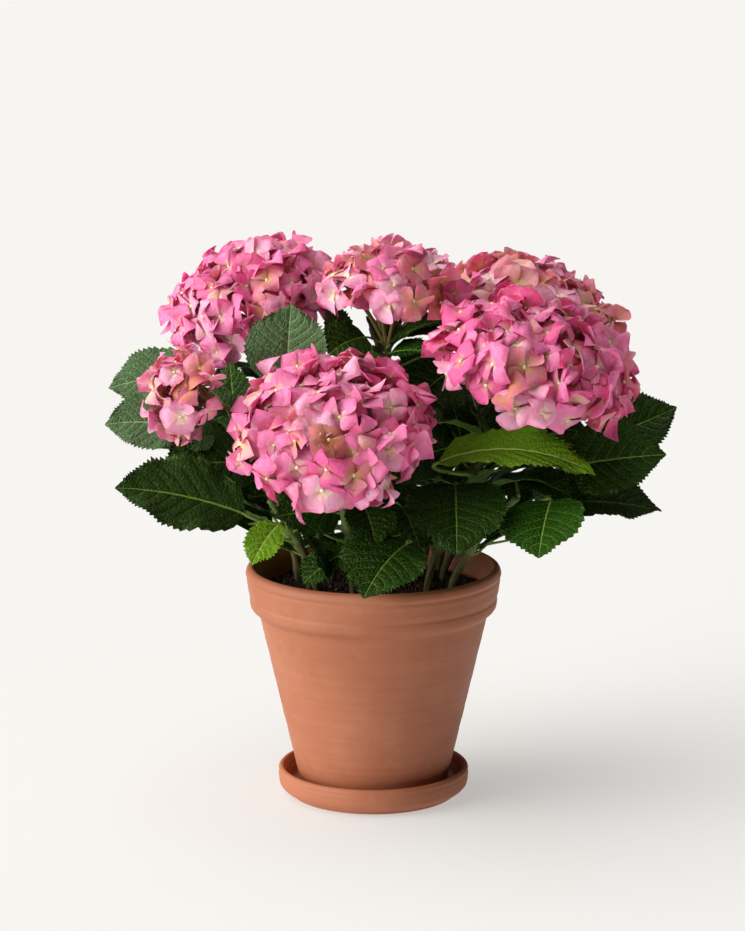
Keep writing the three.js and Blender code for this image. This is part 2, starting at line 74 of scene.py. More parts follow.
def linear(code: str) -> Colour:
    """Turns a six-figure colour code into linear red, green and blue.

    Args:
        code: Two hexadecimal figures each for red, green and blue as a screen shows them.

    Returns:
        The three shares of light: below 0.04045 a share is a straight line of the screen's value,
        above it a power of 2.4.
    """
    shown = np.array([int(code[i : i + 2], 16) for i in (0, 2, 4)]) / 255
    light = np.where(shown <= 0.04045, shown / 12.92, ((shown + 0.055) / 1.055) ** 2.4)
    return tuple(float(share) for share in light)


def unit(vectors: Array) -> Array:
    """Vectors scaled to a length of one."""
    return vectors / np.maximum(np.linalg.norm(vectors, axis=-1, keepdims=True), 1e-12)


def smooth(low: float, high: float, values: Array) -> Array:
    """A step that rises from 0 at low to 1 at high with level ends."""
    share = np.clip((values - low) / (high - low), 0, 1)
    return share * share * (3 - 2 * share)


def ripples(points: Array, wavelength: float, seed: int, waves: int = 6) -> Array:
    """A smooth uneven field between about -1 and 1: a sum of sine waves of random directions.

    Args:
        points: Places, in an array whose last axis is x, y and z.
        wavelength: The middle length of the waves.
        seed: Picks the directions, lengths and phases.
        waves: How many waves are summed.

    Returns:
        One value for each place.
    """
    draw = np.random.default_rng(seed)
    ways = unit(draw.normal(size=(waves, 3))) * (2 * np.pi / wavelength)
    ways *= draw.uniform(0.6, 1.6, (waves, 1))
    phases = draw.uniform(0, 2 * np.pi, waves)
    return np.sin(points @ ways.T + phases).sum(-1) / math.sqrt(waves)


def grid_quads(rows: int, columns: int, wrap_columns: bool = False, wrap_rows: bool = False) -> Array:
    """Four-sided faces of a grid of points that is stored row by row.

    A face looks along the columns' direction crossed with the rows' direction.

    Args:
        rows: Number of rows.
        columns: Number of points in a row.
        wrap_columns: Joins each row's last point to its first.
        wrap_rows: Joins the last row to the first.

    Returns:
        An array of four point numbers for each face.
    """
    row = np.arange(rows if wrap_rows else rows - 1)[:, None]
    column = np.arange(columns if wrap_columns else columns - 1)[None]
    over = (row + 1) % rows * columns
    beside = (column + 1) % columns
    corners = [row * columns + column, row * columns + beside, over + beside, over + column]
    return np.stack(np.broadcast_arrays(*corners), -1).reshape(-1, 4)


def repeated(faces: Array, copies: int, points_each: int) -> Array:
    """Faces of one shape repeated for copies whose points follow one another."""
    shifts = points_each * np.arange(copies)[:, None, None]
    return (faces[None] + shifts).reshape(-1, faces.shape[1])


@dataclass
class Shell:
    """The points and faces of one piece, gathered part by part and then written as a mesh."""

    points: list[Array] = field(default_factory=list)
    rims: list[Array] = field(default_factory=list)
    faces: dict[int, list[Array]] = field(default_factory=lambda: {4: [], 3: []})
    finishes: dict[int, list[Array]] = field(default_factory=lambda: {4: [], 3: []})
    count: int = 0

    def add(self, points: Array, *face_sets: tuple[Array, int | Array], rim: Array | None = None) -> None:
        """Adds points and the faces between them.

        Args:
            points: Places, in an array whose last axis is x, y and z.
            face_sets: Pairs of faces, four or three point numbers each, and the number of their
                finish, one for all or one for each face.
            rim: True at points on a thin edge, along which the shading breaks.
        """
        places = points.reshape(-1, 3)
        for faces, finish in face_sets:
            sides = faces.shape[1]
            self.faces[sides].append(faces + self.count)
            self.finishes[sides].append(np.broadcast_to(finish, len(faces)))
        self.points.append(places)
        self.rims.append(np.zeros(len(places), bool) if rim is None else rim.ravel())
        self.count += len(places)

    def piece(self, name: str, finishes: list[bpy.types.Material], slot: str, *stands_for: str) -> None:
        """Writes the gathered faces as one object that rides on the part.

        Args:
            name: Name of the new piece.
            finishes: The materials that the finish numbers mean.
            slot: A material slot's name; not used.
            stands_for: Names of the plain solids that the piece replaces.
        """
        mesh = bpy.data.meshes.new(name)
        corners, starts, kinds, at = [], [], [], 0
        for sides in (4, 3):
            if not self.faces[sides]:
                continue
            faces = np.concatenate(self.faces[sides])
            corners.append(faces.ravel())
            starts.append(at + sides * np.arange(len(faces)))
            kinds.append(np.concatenate(self.finishes[sides]))
            at += faces.size
        corners, starts, kinds = (np.concatenate(part).astype(np.int32) for part in (corners, starts, kinds))
        mesh.vertices.add(self.count)
        mesh.vertices.foreach_set("co", (np.concatenate(self.points) * MILLIMETRE).astype(np.float32).ravel())
        mesh.loops.add(len(corners))
        mesh.loops.foreach_set("vertex_index", corners)
        mesh.polygons.add(len(starts))
        mesh.polygons.foreach_set("loop_start", starts)
        for finish in finishes:
            mesh.materials.append(finish)
        mesh.polygons.foreach_set("material_index", kinds)
        mesh.polygons.foreach_set("use_smooth", np.ones(len(starts), bool))
        mesh.update(calc_edges=True)
        self._break_shading(mesh)
        mesh.validate()
        made = bpy.data.objects.new(name, mesh)
        bpy.context.scene.collection.objects.link(made)
        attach(made, BODY)
        if stands_for:
            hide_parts(*stands_for)
        LOG.info("%s: %d faces", name, len(starts))

    def _break_shading(self, mesh: bpy.types.Mesh) -> None:
        """Marks the edges between two rim points as sharp.

        Args:
            mesh: The piece's mesh.
        """
        rim = np.concatenate(self.rims)
        if not rim.any():
            return
        ends = np.zeros(2 * len(mesh.edges), np.int32)
        mesh.edges.foreach_get("vertices", ends)
        sharp = mesh.attributes.new("sharp_edge", "BOOLEAN", "EDGE")
        sharp.data.foreach_set("value", rim[ends.reshape(-1, 2)].all(1))


def add_tubes(shell: Shell, paths: Array, radii: Array, sides: int, finish: int | Array = 0) -> None:
    """Adds closed round tubes of any radius along paths that have the same number of points.

    A tube's ring stands square to its path. Its first direction is carried from ring to ring by
    taking out what lies along the path, so that the tube doesn't twist. Each end closes in a fan.

    Args:
        shell: Where the tubes go.
        paths: Tubes by points by x, y and z.
        radii: Tubes by points, or by points by sides where a tube isn't round.
        sides: Number of sides.
        finish: The finish number, one for all or one for each band of each tube.
    """
    tubes, stations = paths.shape[:2]
    ways = unit(np.gradient(paths, axis=1))
    first = np.empty_like(paths)
    steep = np.abs(ways[:, 0, 2:]) > STEEP
    carried = np.where(steep, [[1.0, 0.0, 0.0]], UP)
    for i in range(stations):
        carried = unit(carried - (carried * ways[:, i]).sum(-1, keepdims=True) * ways[:, i])
        first[:, i] = carried
    second = np.cross(ways, first)
    turn = 2 * np.pi * np.arange(sides) / sides
    around = first[:, :, None] * np.cos(turn)[:, None] + second[:, :, None] * np.sin(turn)[:, None]
    across = radii[..., None, None] if radii.ndim == 2 else radii[..., None]
    rings = paths[:, :, None] + across * around
    points = np.concatenate([rings.reshape(tubes, -1, 3), paths[:, :1], paths[:, -1:]], 1)
    each = points.shape[1]
    side = np.arange(sides)
    beside = (side + 1) % sides
    last = (stations - 1) * sides
    start = np.stack([np.full(sides, each - 2), beside, side], 1)
    end = np.stack([np.full(sides, each - 1), last + side, last + beside], 1)
    bands = np.broadcast_to(finish, (tubes, stations - 1))
    shell.add(
        points,
        (repeated(grid_quads(stations, sides, True), tubes, each), np.repeat(bands.ravel(), sides)),
        (repeated(start, tubes, each), np.repeat(bands[:, 0], sides)),
        (repeated(end, tubes, each), np.repeat(bands[:, -1], sides)),
    )


def curve(corners: Array, stations: int) -> Array:
    """Points of cubic curves, each drawn by four corners: (1-t)^3, 3t(1-t)^2, 3t^2(1-t) and t^3.

    Args:
        corners: Curves by four corners by x, y and z.
        stations: Number of points along each.

    Returns:
        Curves by points by x, y and z.
    """
    t = np.linspace(0, 1, stations)[:, None]
    shares = np.hstack([(1 - t) ** 3, 3 * t * (1 - t) ** 2, 3 * t**2 * (1 - t), t**3])
    return np.einsum("sk,nkx->nsx", shares, corners)


def add_thin_blades(shell: Shell, upper: Array, lower: Array, finish: Array, under: Array) -> None:
    """Adds closed thin blades: an upper and a lower surface that share the points of their edge.

    Args:
        shell: Where the blades go.
        upper: Blades by rows by columns by x, y and z.
        lower: The same for the lower surface, whose edge isn't used.
        finish: Finish numbers of the upper faces, blades by rows less one by columns less one.
        under: The same for the lower faces.
    """
    blades, rows, columns = upper.shape[:3]
    on_edge = np.ones((rows, columns), bool)
    on_edge[1:-1, 1:-1] = False
    numbers = np.arange(rows * columns).reshape(rows, columns)
    inner = (rows - 2) * (columns - 2)
    below = numbers.copy()
    below[~on_edge] = rows * columns + np.arange(inner)
    quads = grid_quads(rows, columns)
    under_quads = below.ravel()[quads][:, ::-1]
    each = rows * columns + inner
    points = np.concatenate([upper.reshape(blades, -1, 3), lower[:, 1:-1, 1:-1].reshape(blades, -1, 3)], 1)
    rim = np.concatenate([on_edge.ravel(), np.zeros(inner, bool)])
    shape = (blades, rows - 1, columns - 1)
    shell.add(
        points,
        (repeated(quads, blades, each), np.broadcast_to(finish, shape).ravel()),
        (repeated(under_quads, blades, each), np.broadcast_to(under, shape).ravel()),
        rim=np.tile(rim, blades),
    )


# ---------------------------------------------------------------- finishes


class Nodes:
    """Adds nodes to a tree and joins them."""

    def __init__(self, tree: bpy.types.NodeTree) -> None:
        """Starts on a tree."""
        self.tree = tree

    def node(self, kind: str, inputs: dict, **settings: str) -> bpy.types.Node:
        """Adds a node.

        Args:
            kind: Blender's name of the node type.
            inputs: Numbers or other nodes' outputs, by the name or number of the input.
            settings: The node's own options.

        Returns:
            The new node.
        """
        made = self.tree.nodes.new(kind)
        for option, value in settings.items():
            setattr(made, option, value)
        self.feed(made, inputs)
        return made

    def feed(self, node: bpy.types.Node, inputs: dict) -> None:
        """Sets or joins a node's inputs.

        Args:
            node: The node.
            inputs: Numbers or other nodes' outputs, by the input's name or number.
        """
        for key, value in inputs.items():
            if isinstance(value, Socket):
                self.tree.links.new(value, node.inputs[key])
            else:
                node.inputs[key].default_value = value


class Recipe(Nodes):
    """Makes the nodes of one material and joins them."""

    def __init__(self, name: str) -> None:
        """Starts a material with one Principled shader.

        Args:
            name: The material's name.
        """
        self.material = bpy.data.materials.new(name)
        self.material.use_nodes = True
        super().__init__(self.material.node_tree)
        self.shader = self.tree.nodes["Principled BSDF"]
        self.place = self.node("ShaderNodeTexCoord", {}).outputs["Object"]

    def stretched(self, scale: tuple[float, float, float]) -> Socket:
        """The place on the part with each axis scaled, for a pattern that runs one way."""
        return self.node("ShaderNodeMapping", {"Vector": self.place, "Scale": scale}).outputs[0]

    def noise(
        self, scale: float, detail: float = 4.0, rough: float = 0.55, place: Socket | None = None
    ) -> Socket:
        """Cloudy noise from 0 to 1, scale features to the metre."""
        inputs = {"Vector": place or self.place, "Scale": scale, "Detail": detail, "Roughness": rough}
        return self.node("ShaderNodeTexNoise", inputs).outputs["Fac"]

    def cells(self, scale: float, feature: str = "DISTANCE_TO_EDGE") -> Socket:
        """Uneven cells: the distance to their edges, a net, or with F1 to their middles, grains."""
        inputs = {"Vector": self.place, "Scale": scale}
        return self.node("ShaderNodeTexVoronoi", inputs, feature=feature).outputs["Distance"]

    def between(self, value: Socket, low: float, high: float, to_low: float, to_high: float) -> Socket:
        """A value's range from low to high carried over to another range and held there."""
        inputs = {"Value": value, 1: low, 2: high, 3: to_low, 4: to_high}
        return self.node("ShaderNodeMapRange", inputs).outputs[0]

    def blend(self, share: Socket, first: Colour | Socket, second: Colour) -> Socket:
        """A colour between two, by a share from 0 to 1."""
        first, second = ((*c, 1.0) if isinstance(c, tuple) else c for c in (first, second))
        return self.node("ShaderNodeMix", {0: share, 6: first, 7: second}, data_type="RGBA").outputs[2]

    def relief(
        self, height: Socket, depth: float, strength: float = 1.0, over: Socket | None = None
    ) -> Socket:
        """Bumps of a depth in millimetres, laid over earlier ones.

        Args:
            height: The pattern.
            depth: How high its highest place stands.
            strength: A share of the full effect.
            over: The relief that it lies on.

        Returns:
            The surface's direction.
        """
        inputs = {"Height": height, "Distance": depth * MILLIMETRE, "Strength": strength}
        if over:
            inputs["Normal"] = over
        return self.node("ShaderNodeBump", inputs).outputs[0]

    def finished(self, inputs: dict) -> bpy.types.Material:
        """Sets the shader's inputs, colours as opaque ones, and returns the material.

        Args:
            inputs: Numbers, colours or nodes' outputs, by the name of the shader's input.

        Returns:
            The material.
        """
        for key, value in inputs.items():
            opaque = "Color" in key and isinstance(value, tuple)
            self.feed(self.shader, {key: (*value, 1.0) if opaque else value})
        return self.material


@dataclass(frozen=True)
class FiredClay:
    """Unglazed red clay: cloudy tone, fine turning lines, grit, and pale bloom here and there."""

    name: str
    body: str
    pale: str
    deep: str

    def material(self) -> bpy.types.Material:
        """Builds the material; turning lines are noise drawn out flat round the pot.

        Returns:
            The material.
        """
        make = Recipe(self.name)
        body, pale, deep = map(linear, (self.body, self.pale, self.deep))
        cloud = make.noise(14, 5)
        bands = make.noise(1, 3, place=make.stretched((5, 5, 330)))
        lines = make.noise(1, 4, 0.7, place=make.stretched((9, 9, 1250)))
        grit = make.noise(1500, 2)
        grains = make.cells(620, "F1")
        bloom = make.between(make.noise(22, 6, 0.65), 0.5, 0.8, 0, 0.3)
        tone = make.blend(make.between(cloud, 0.32, 0.68, 0, 0.55), body, deep)
        tone = make.blend(make.between(bands, 0.35, 0.7, 0, 0.3), tone, deep)
        tone = make.blend(bloom, tone, pale)
        tone = make.blend(make.between(grains, 0.05, 0.16, 0.22, 0), tone, pale)
        relief = make.relief(bands, 0.16)
        relief = make.relief(lines, 0.11, over=relief)
        relief = make.relief(grit, 0.07, 0.8, over=relief)
        return make.finished(
            {
                "Base Color": tone,
                "Roughness": make.between(cloud, 0.3, 0.7, 0.56, 0.7),
                "Specular IOR Level": 0.5,
                "Normal": relief,
            }
        )


@dataclass(frozen=True)
class Humus:
    """Potting soil or its crumbs: damp dark fibre with browner grains."""

    name: str
    dark: str
    light: str

    def material(self) -> bpy.types.Material:
        """Builds the material.

        Returns:
            The material.
        """
        make = Recipe(self.name)
        lumps = make.noise(170, 6, 0.7)
        tone = make.blend(make.between(lumps, 0.38, 0.66, 0, 1), linear(self.dark), linear(self.light))
        relief = make.relief(lumps, 1.4)
        relief = make.relief(make.noise(900, 3), 0.35, over=relief)
        rough = make.between(make.noise(60), 0.35, 0.65, 0.6, 0.95)
        return make.finished(
            {"Base Color": tone, "Roughness": rough, "Specular IOR Level": 0.3, "Normal": relief}
        )


@dataclass(frozen=True)
class Rind:
    """The skin of a stem: long fibres, small raised corky spots and cloudy tone."""

    name: str
    body: str
    spot: str
    rough: float
    depth: float

    def material(self) -> bpy.types.Material:
        """Builds the material; fibres are noise drawn out upwards.

        Returns:
            The material.
        """
        make = Recipe(self.name)
        fibres = make.noise(1, 5, 0.65, place=make.stretched((900, 900, 70)))
        corky = make.noise(1, 2, place=make.stretched((520, 520, 260)))
        spots = make.between(corky, 0.6, 0.7, 0, 1)
        body, spot = linear(self.body), linear(self.spot)
        tone = make.blend(make.between(fibres, 0.3, 0.75, 0, 0.5), body, spot)
        tone = make.blend(make.between(corky, 0.6, 0.7, 0, 0.7), tone, spot)
        relief = make.relief(fibres, self.depth)
        relief = make.relief(spots, self.depth, over=relief)
        return make.finished(
            {
                "Base Color": tone,
                "Roughness": make.between(fibres, 0.3, 0.7, self.rough, self.rough + 0.2),
                "Normal": relief,
            }
        )


@dataclass(frozen=True)
class LeafSkin:
    """One side of a leaf in a plain tone: a net of fine veins in relief, and a broken gloss."""

    name: str
    body: str
    rough: float
    depth: float
    glow: float = 0.0

    def material(self) -> bpy.types.Material:
        """Builds the material; the tone is one plain colour and the net shows by its relief.

        Returns:
            The material.
        """
        make = Recipe(self.name)
        net = make.between(make.cells(260), 0.0, 0.22, 0, 1)
        fine = make.between(make.cells(800), 0.0, 0.2, 0, 1)
        relief = make.relief(net, self.depth)
        relief = make.relief(fine, 0.4 * self.depth, 0.7, over=relief)
        patches = make.noise(60, 4)
        return make.finished(
            {
                "Base Color": linear(self.body),
                "Roughness": make.between(patches, 0.35, 0.65, self.rough, self.rough + 0.16),
                "Specular IOR Level": 0.28,
                "Specular Tint": (0.75, 1.0, 0.45, 1.0),
                "Subsurface Weight": self.glow,
                "Subsurface Radius": (0.6, 1.0, 0.2),
                "Subsurface Scale": 0.0015,
                "Normal": relief,
            }
        )


@dataclass(frozen=True)
class PetalSkin:
    """One zone of a petal in a plain tone: soft, faintly furrowed, with light inside it."""

    name: str
    body: str

    def material(self) -> bpy.types.Material:
        """Builds the material.

        Returns:
            The material.
        """
        make = Recipe(self.name)
        furrows = make.noise(420, 3, 0.6)
        relief = make.relief(make.noise(130, 2), 0.7, 1.6)
        relief = make.relief(furrows, 0.35, 0.8, over=relief)
        return make.finished(
            {
                "Base Color": linear(self.body),
                "Roughness": make.between(furrows, 0.3, 0.7, 0.48, 0.66),
                "Specular IOR Level": 0.26,
                "Subsurface Weight": 0.4,
                "Subsurface Radius": (1.0, 0.35, 0.5),
                "Subsurface Scale": 0.0025,
                "Normal": relief,
            }
        )


@dataclass(frozen=True)
class PaleFloor:
    """The plain floor that the part stands on; it glows of itself, painted light that pales the shadows cast
    on it.
    """

    name: str
    body: str
    glow: float

    def material(self) -> bpy.types.Material:
        """Builds the material, with a grain too fine to see from a step away.

        Returns:
            The material.
        """
        make = Recipe(self.name)
        relief = make.relief(make.noise(700, 2), 0.02)
        return make.finished(
            {
                "Base Color": linear(self.body),
                "Roughness": 0.92,
                "Normal": relief,
                # the emission is painted light: it lifts the floor's shadows
                "Emission Color": linear(self.body),
                "Emission Strength": self.glow,
            }
        )


# ---------------------------------------------------------------- pot, saucer and soil


def rounded(corners: Array, radius: float, step: float, closed: bool) -> Array:
    """Rounds the corners of an outline and lays points evenly along it.

    A corner gives way to a curve (1-t)^2, 2t(1-t), t^2 between the points that lie the radius, or
    at most 0.45 of the side, before and after it.

    Args:
        corners: The outline's corners as radius and height.
        radius: How far from a corner its curve starts.
        step: Distance between points in the result.
        closed: Whether the outline runs back into its first corner.

    Returns:
        The rounded outline as radius and height. A closed one doesn't repeat its first point.
    """
    before, after = np.roll(corners, 1, 0), np.roll(corners, -1, 0)
    reach = []
    for other in (before, after):
        side = np.linalg.norm(other - corners, axis=1, keepdims=True)
        reach.append(corners + (other - corners) * np.minimum(radius / side, 0.45))
    t = np.linspace(0, 1, 5)[None, :, None]
    bends = (1 - t) ** 2 * reach[0][:, None] + 2 * t * (1 - t) * corners[:, None] + t**2 * reach[1][:, None]
    if not closed:
        bends[0], bends[-1] = corners[0], corners[-1]
    outline = bends.reshape(-1, 2)
    if closed:
        outline = np.vstack([outline, outline[:1]])
    along = np.concatenate([[0], np.cumsum(np.linalg.norm(np.diff(outline, axis=0), axis=1))])
    count = int(along[-1] / step) + 1
    even = np.linspace(0, along[-1], count)
    laid = np.stack([np.interp(even, along, outline[:, k]) for k in (0, 1)], 1)
    return laid[:-1] if closed else laid


def add_rings(shell: Shell, rings: Array, low: float, high: float) -> None:
    """Adds a body of level rings about Z, closed by fans round a point of the axis at each end.

    Args:
        shell: Where the body goes.
        rings: Rings by sides by x, y and z.
        low: Height of the point that closes the first ring.
        high: The same for the last ring.
    """
    count, sides = len(rings), rings.shape[1]
    poles = count * sides
    side = np.arange(sides)
    beside = (side + 1) % sides
    last = poles - sides
    shell.add(
        np.vstack([rings.reshape(-1, 3), [[0, 0, low], [0, 0, high]]]),
        (grid_quads(count, sides, True), 0),
        (np.stack([np.full(sides, poles), beside, side], 1), 0),
        (np.stack([np.full(sides, poles + 1), last + side, last + beside], 1), 0),
    )


@dataclass
class Turned:
    """A vessel of revolution about Z with the small waves that a wheel leaves.

    The coarse and the fine turning lines are given by their depth and spacing.
    """

    sides: int = 144
    step: float = 1.25
    corner: float = 1.5
    coarse: tuple[float, float] = (0.1, 5)
    fine: tuple[float, float] = (0.07, 2.6)
    wobble: float = 0.25

    def surface(self, outline: Array, seed: int) -> Array:
        """Carries an outline round Z: radius cos a, radius sin a, height.

        The radius grows by turning lines, waves of the height alone, and by a slow wobble.

        Args:
            outline: Points as radius and height.
            seed: Picks the waves.

        Returns:
            Outline points by sides by x, y and z.
        """
        turn = 2 * np.pi * np.arange(self.sides) / self.sides
        level = np.zeros((len(outline), 3))
        level[:, 2] = outline[:, 1]
        radius = outline[:, :1]
        lines = sum(
            depth * ripples(level, spacing, seed + k)
            for k, (depth, spacing) in enumerate((self.coarse, self.fine))
        )
        wobble = self.wobble * np.sin(2 * turn + seed)[None] * smooth(20, 60, radius)
        radius = radius + smooth(6, 30, radius) * lines[:, None] + wobble
        height = np.broadcast_to(outline[:, 1:], radius.shape)
        return np.stack([radius * np.cos(turn), radius * np.sin(turn), height], -1)

    def add_closed(self, shell: Shell, corners: Corners, seed: int) -> None:
        """Adds a ring-shaped body from an outline that runs back into itself."""
        outline = rounded(np.array(corners, float), self.corner, self.step, True)
        shell.add(self.surface(outline, seed), (grid_quads(len(outline), self.sides, True, True), 0))

    def add_poled(self, shell: Shell, corners: Corners, seed: int) -> None:
        """Adds a body from an outline that starts and ends on the axis."""
        outline = rounded(np.array(corners, float), self.corner, self.step, False)[1:-1]
        add_rings(shell, self.surface(outline, seed), corners[0][1], corners[-1][1])


@dataclass
class ClayWare:
    """The pot with its collar and drain hole, and the saucer under it.

    Inside, the pot opens to its mouth over the neck, the last stretch below the rim's top.
    """

    NECK = 8

    base_radius: float = 60.3
    slope: float = 0.2325
    base: float = 8.3
    floor: float = 12
    wall: float = 8
    body_top: float = 149
    collar_foot: float = 159
    collar_radius: float = 100.8
    rim_radius: float = 105
    rim_top: float = 193
    rim_round: float = 5
    mouth_radius: float = 98
    drain_radius: float = 9
    groove: float = 1.1
    turning: Turned = field(default_factory=Turned)

    def outside(self, height: float) -> float:
        """The body's outside radius at a height."""
        return self.base_radius + self.slope * (height - self.base)

    def inside(self, height: float) -> float:
        """The inside radius at a height; above the neck it opens to the mouth.

        Args:
            height: A height above the table.

        Returns:
            The radius.
        """
        neck = self.rim_top - self.NECK
        straight = self.outside(min(height, neck)) - self.wall
        return straight + (self.mouth_radius - straight) * max(0.0, height - neck) / (self.rim_top - neck)

    def pot_corners(self) -> Corners:
        """The pot's outline, with two shallow grooves turned into the collar.

        Returns:
            Pairs of radius and height, from the drain hole out, up and back inside.
        """
        floor = self.base + self.floor
        step = self.rim_radius - self.collar_radius
        grooved = (
            (0.24, 0, 165.0), (0.3, self.groove, 167.5), (0.36, 0, 170.0),
            (0.82, 0, 182.0), (0.88, self.groove, 184.0), (0.95, 0, 185.6),
        )
        return [
            (self.drain_radius, self.base),
            (self.base_radius - 2, self.base),
            (self.outside(self.base + 2), self.base + 2),
            (self.outside(self.body_top), self.body_top),
            (self.outside(self.body_top) + 1.4, self.body_top + 4.5),
            (self.collar_radius - 2.2, self.collar_foot - 2.5),
            (self.collar_radius, self.collar_foot),
            *((self.collar_radius + share * step - cut, height) for share, cut, height in grooved),
            (self.rim_radius, self.rim_top - self.rim_round - 1),
            (self.rim_radius - 1.4, self.rim_top - 1.8),
            (self.rim_radius - self.rim_round, self.rim_top),
            (self.mouth_radius + 1, self.rim_top - 0.4),
            (self.mouth_radius - 1, self.rim_top - 3),
            (self.inside(self.rim_top - self.NECK), self.rim_top - self.NECK),
            (self.inside(floor), floor),
            (self.drain_radius, floor),
        ]

    def saucer_corners(self) -> Corners:
        """The saucer's outline from the centre of its foot round to the centre of its floor.

        Returns:
            Pairs of radius and height.
        """
        foot, outer, inner, top, floor = 69, 78.8, 74.2, 23.2, 8
        return [
            (0, 0), (foot, 0), (foot + 1.4, 3.4), (outer - 4, 4.6), (outer - 0.8, 8), (outer, 12),
            (outer, top - 1.6), (outer - 1.6, top), (inner + 0.8, top), (inner, top - 1.6),
            (inner - 5, floor), (0, floor),
        ]

    def build(self) -> None:
        """Makes the pot and the saucer in fired clay."""
        pot, saucer = Shell(), Shell()
        self.turning.add_closed(pot, self.pot_corners(), 3)
        self.turning.add_poled(saucer, self.saucer_corners(), 11)
        clay = FiredClay("fired_clay", "b16c4b", "c98d6f", "9c5a3c")
        pot.piece("turned_pot", [clay.material()], "terracotta", "pot")
        clay = FiredClay("fired_clay_saucer", "b56e4c", "cd9172", "a05e3f")
        saucer.piece("turned_saucer", [clay.material()], "terracotta", "saucer")


@dataclass
class Soil:
    """Soil that fills the pot, loose on top, with crumbs lying on it."""

    # depth, length and seed of each wave, and the share of each kind of crumb
    WAVES = ((0.6, 46, 21), (0.3, 17, 22), (0.16, 6, 23))
    KINDS = (0.62, 0.3, 0.08)

    top: float = 176
    bottom: float = 20.6
    gap: float = 0.7
    relief: float = 2.6
    sides: int = 120
    rings: int = 44
    crumbs: int = 1500
    crumb_size: tuple[float, float] = (0.8, 3.4)
    crumb_sides: int = 6

    def surface(self, places: Array) -> Array:
        """Heights of the soil's top: long, middle and short waves below its highest level."""
        waves = sum(depth * ripples(places, length, seed) for depth, length, seed in self.WAVES)
        return self.top - self.relief + np.clip(waves, -1.2, 1) * self.relief

    def build(self, ware: ClayWare) -> None:
        """Makes the soil and its crumbs inside the pot.

        Args:
            ware: The pot that it fills.
        """
        turn = 2 * np.pi * np.arange(self.sides) / self.sides
        edge = ware.inside(self.top - 4) - self.gap
        low = ware.inside(self.bottom) - self.gap
        radii = np.concatenate(
            [[low, low + 0.5 * (edge - low), edge], np.linspace(edge - 1, 1.5, self.rings)]
        )
        points = np.zeros((len(radii), self.sides, 3))
        points[..., 0] = radii[:, None] * np.cos(turn)
        points[..., 1] = radii[:, None] * np.sin(turn)
        points[:3, :, 2] = np.array([[self.bottom], [0.5 * (self.bottom + self.top)], [self.top - 5]])
        points[3:, :, 2] = self.surface(points[3:])
        shell = Shell()
        add_rings(shell, points, self.bottom, float(points[-1, :, 2].mean()))
        shell.piece("potting_soil", [Humus("damp_soil", "1d140e", "3a2a1e").material()], "soil", "soil")
        self._scatter_crumbs(edge)

    def _scatter_crumbs(self, edge: float) -> None:
        """Strews crumbs: double cones with uneven radii, half sunk in the soil.

        Args:
            edge: The radius of the soil's top.
        """
        draw = np.random.default_rng(5)
        size = draw.uniform(*self.crumb_size, self.crumbs)
        radius = (edge - 4) * np.sqrt(draw.uniform(0, 1, self.crumbs))
        turn = draw.uniform(0, 2 * np.pi, self.crumbs)
        middle = np.stack([radius * np.cos(turn), radius * np.sin(turn), np.zeros(self.crumbs)], 1)
        middle[:, 2] = self.surface(middle) + 0.2 * size
        way = unit(draw.normal(size=(self.crumbs, 3)))
        steps = np.array([-0.5, -0.2, 0.25, 0.5])
        paths = middle[:, None] + way[:, None] * steps[None, :, None] * size[:, None, None]
        widths = np.array([0.18, 0.5, 0.42, 0.14])
        uneven = draw.uniform(0.7, 1.2, (self.crumbs, len(steps), self.crumb_sides))
        radii = size[:, None, None] * widths[:, None] * uneven
        kinds = draw.choice(len(self.KINDS), self.crumbs, p=self.KINDS)
        shell = Shell()
        add_tubes(shell, paths, radii, self.crumb_sides, kinds[:, None])
        finishes = [
            Humus("crumb_dark", "20160f", "35261a").material(),
            Humus("crumb_brown", "3b2819", "5d4430").material(),
            Humus("crumb_bark", "5a4330", "836a50").material(),
        ]
        shell.piece("soil_crumbs", finishes, "soil")


# ---------------------------------------------------------------- leaves


class Tone(Enum):
    """The greens that leaves come in."""

    DARK = "dark"
    DEEP = "deep"
    GREY = "grey"
    FRESH = "fresh"
    YOUNG = "young"


@dataclass(frozen=True)
class Greens:
    """The four plain colours of one tone of leaf, and its gloss."""

    blade: str
    vein: str
    midrib: str
    under: str
    rough: float
    glow: float = 0.0

    def materials(self, name: str) -> list[bpy.types.Material]:
        """The finishes of the upper side, side veins, midrib and underside, in that order.

        Args:
            name: The tone's name.

        Returns:
            Four materials.
        """
        return [
            LeafSkin(f"leaf_{name}", self.blade, self.rough, 0.6, self.glow).material(),
            LeafSkin(f"leaf_vein_{name}", self.vein, self.rough + 0.1, 0.2, self.glow).material(),
            LeafSkin(f"leaf_midrib_{name}", self.midrib, self.rough + 0.1, 0.1).material(),
            LeafSkin(f"leaf_under_{name}", self.under, 0.62, 0.5, self.glow).material(),
        ]


GREENS = {
    Tone.DARK: Greens("183403", "3a641a", "7a9942", "3c5a26", 0.2),
    Tone.DEEP: Greens("204804", "46721c", "88a54c", "48682f", 0.24),
    Tone.GREY: Greens("4a6440", "6c8860", "93a87c", "5a754d", 0.2),
    Tone.FRESH: Greens("305c06", "5a8828", "96b856", "587a38", 0.32, 0.1),
    Tone.YOUNG: Greens("608a12", "84aa38", "a9c766", "76973e", 0.38, 0.2),
}


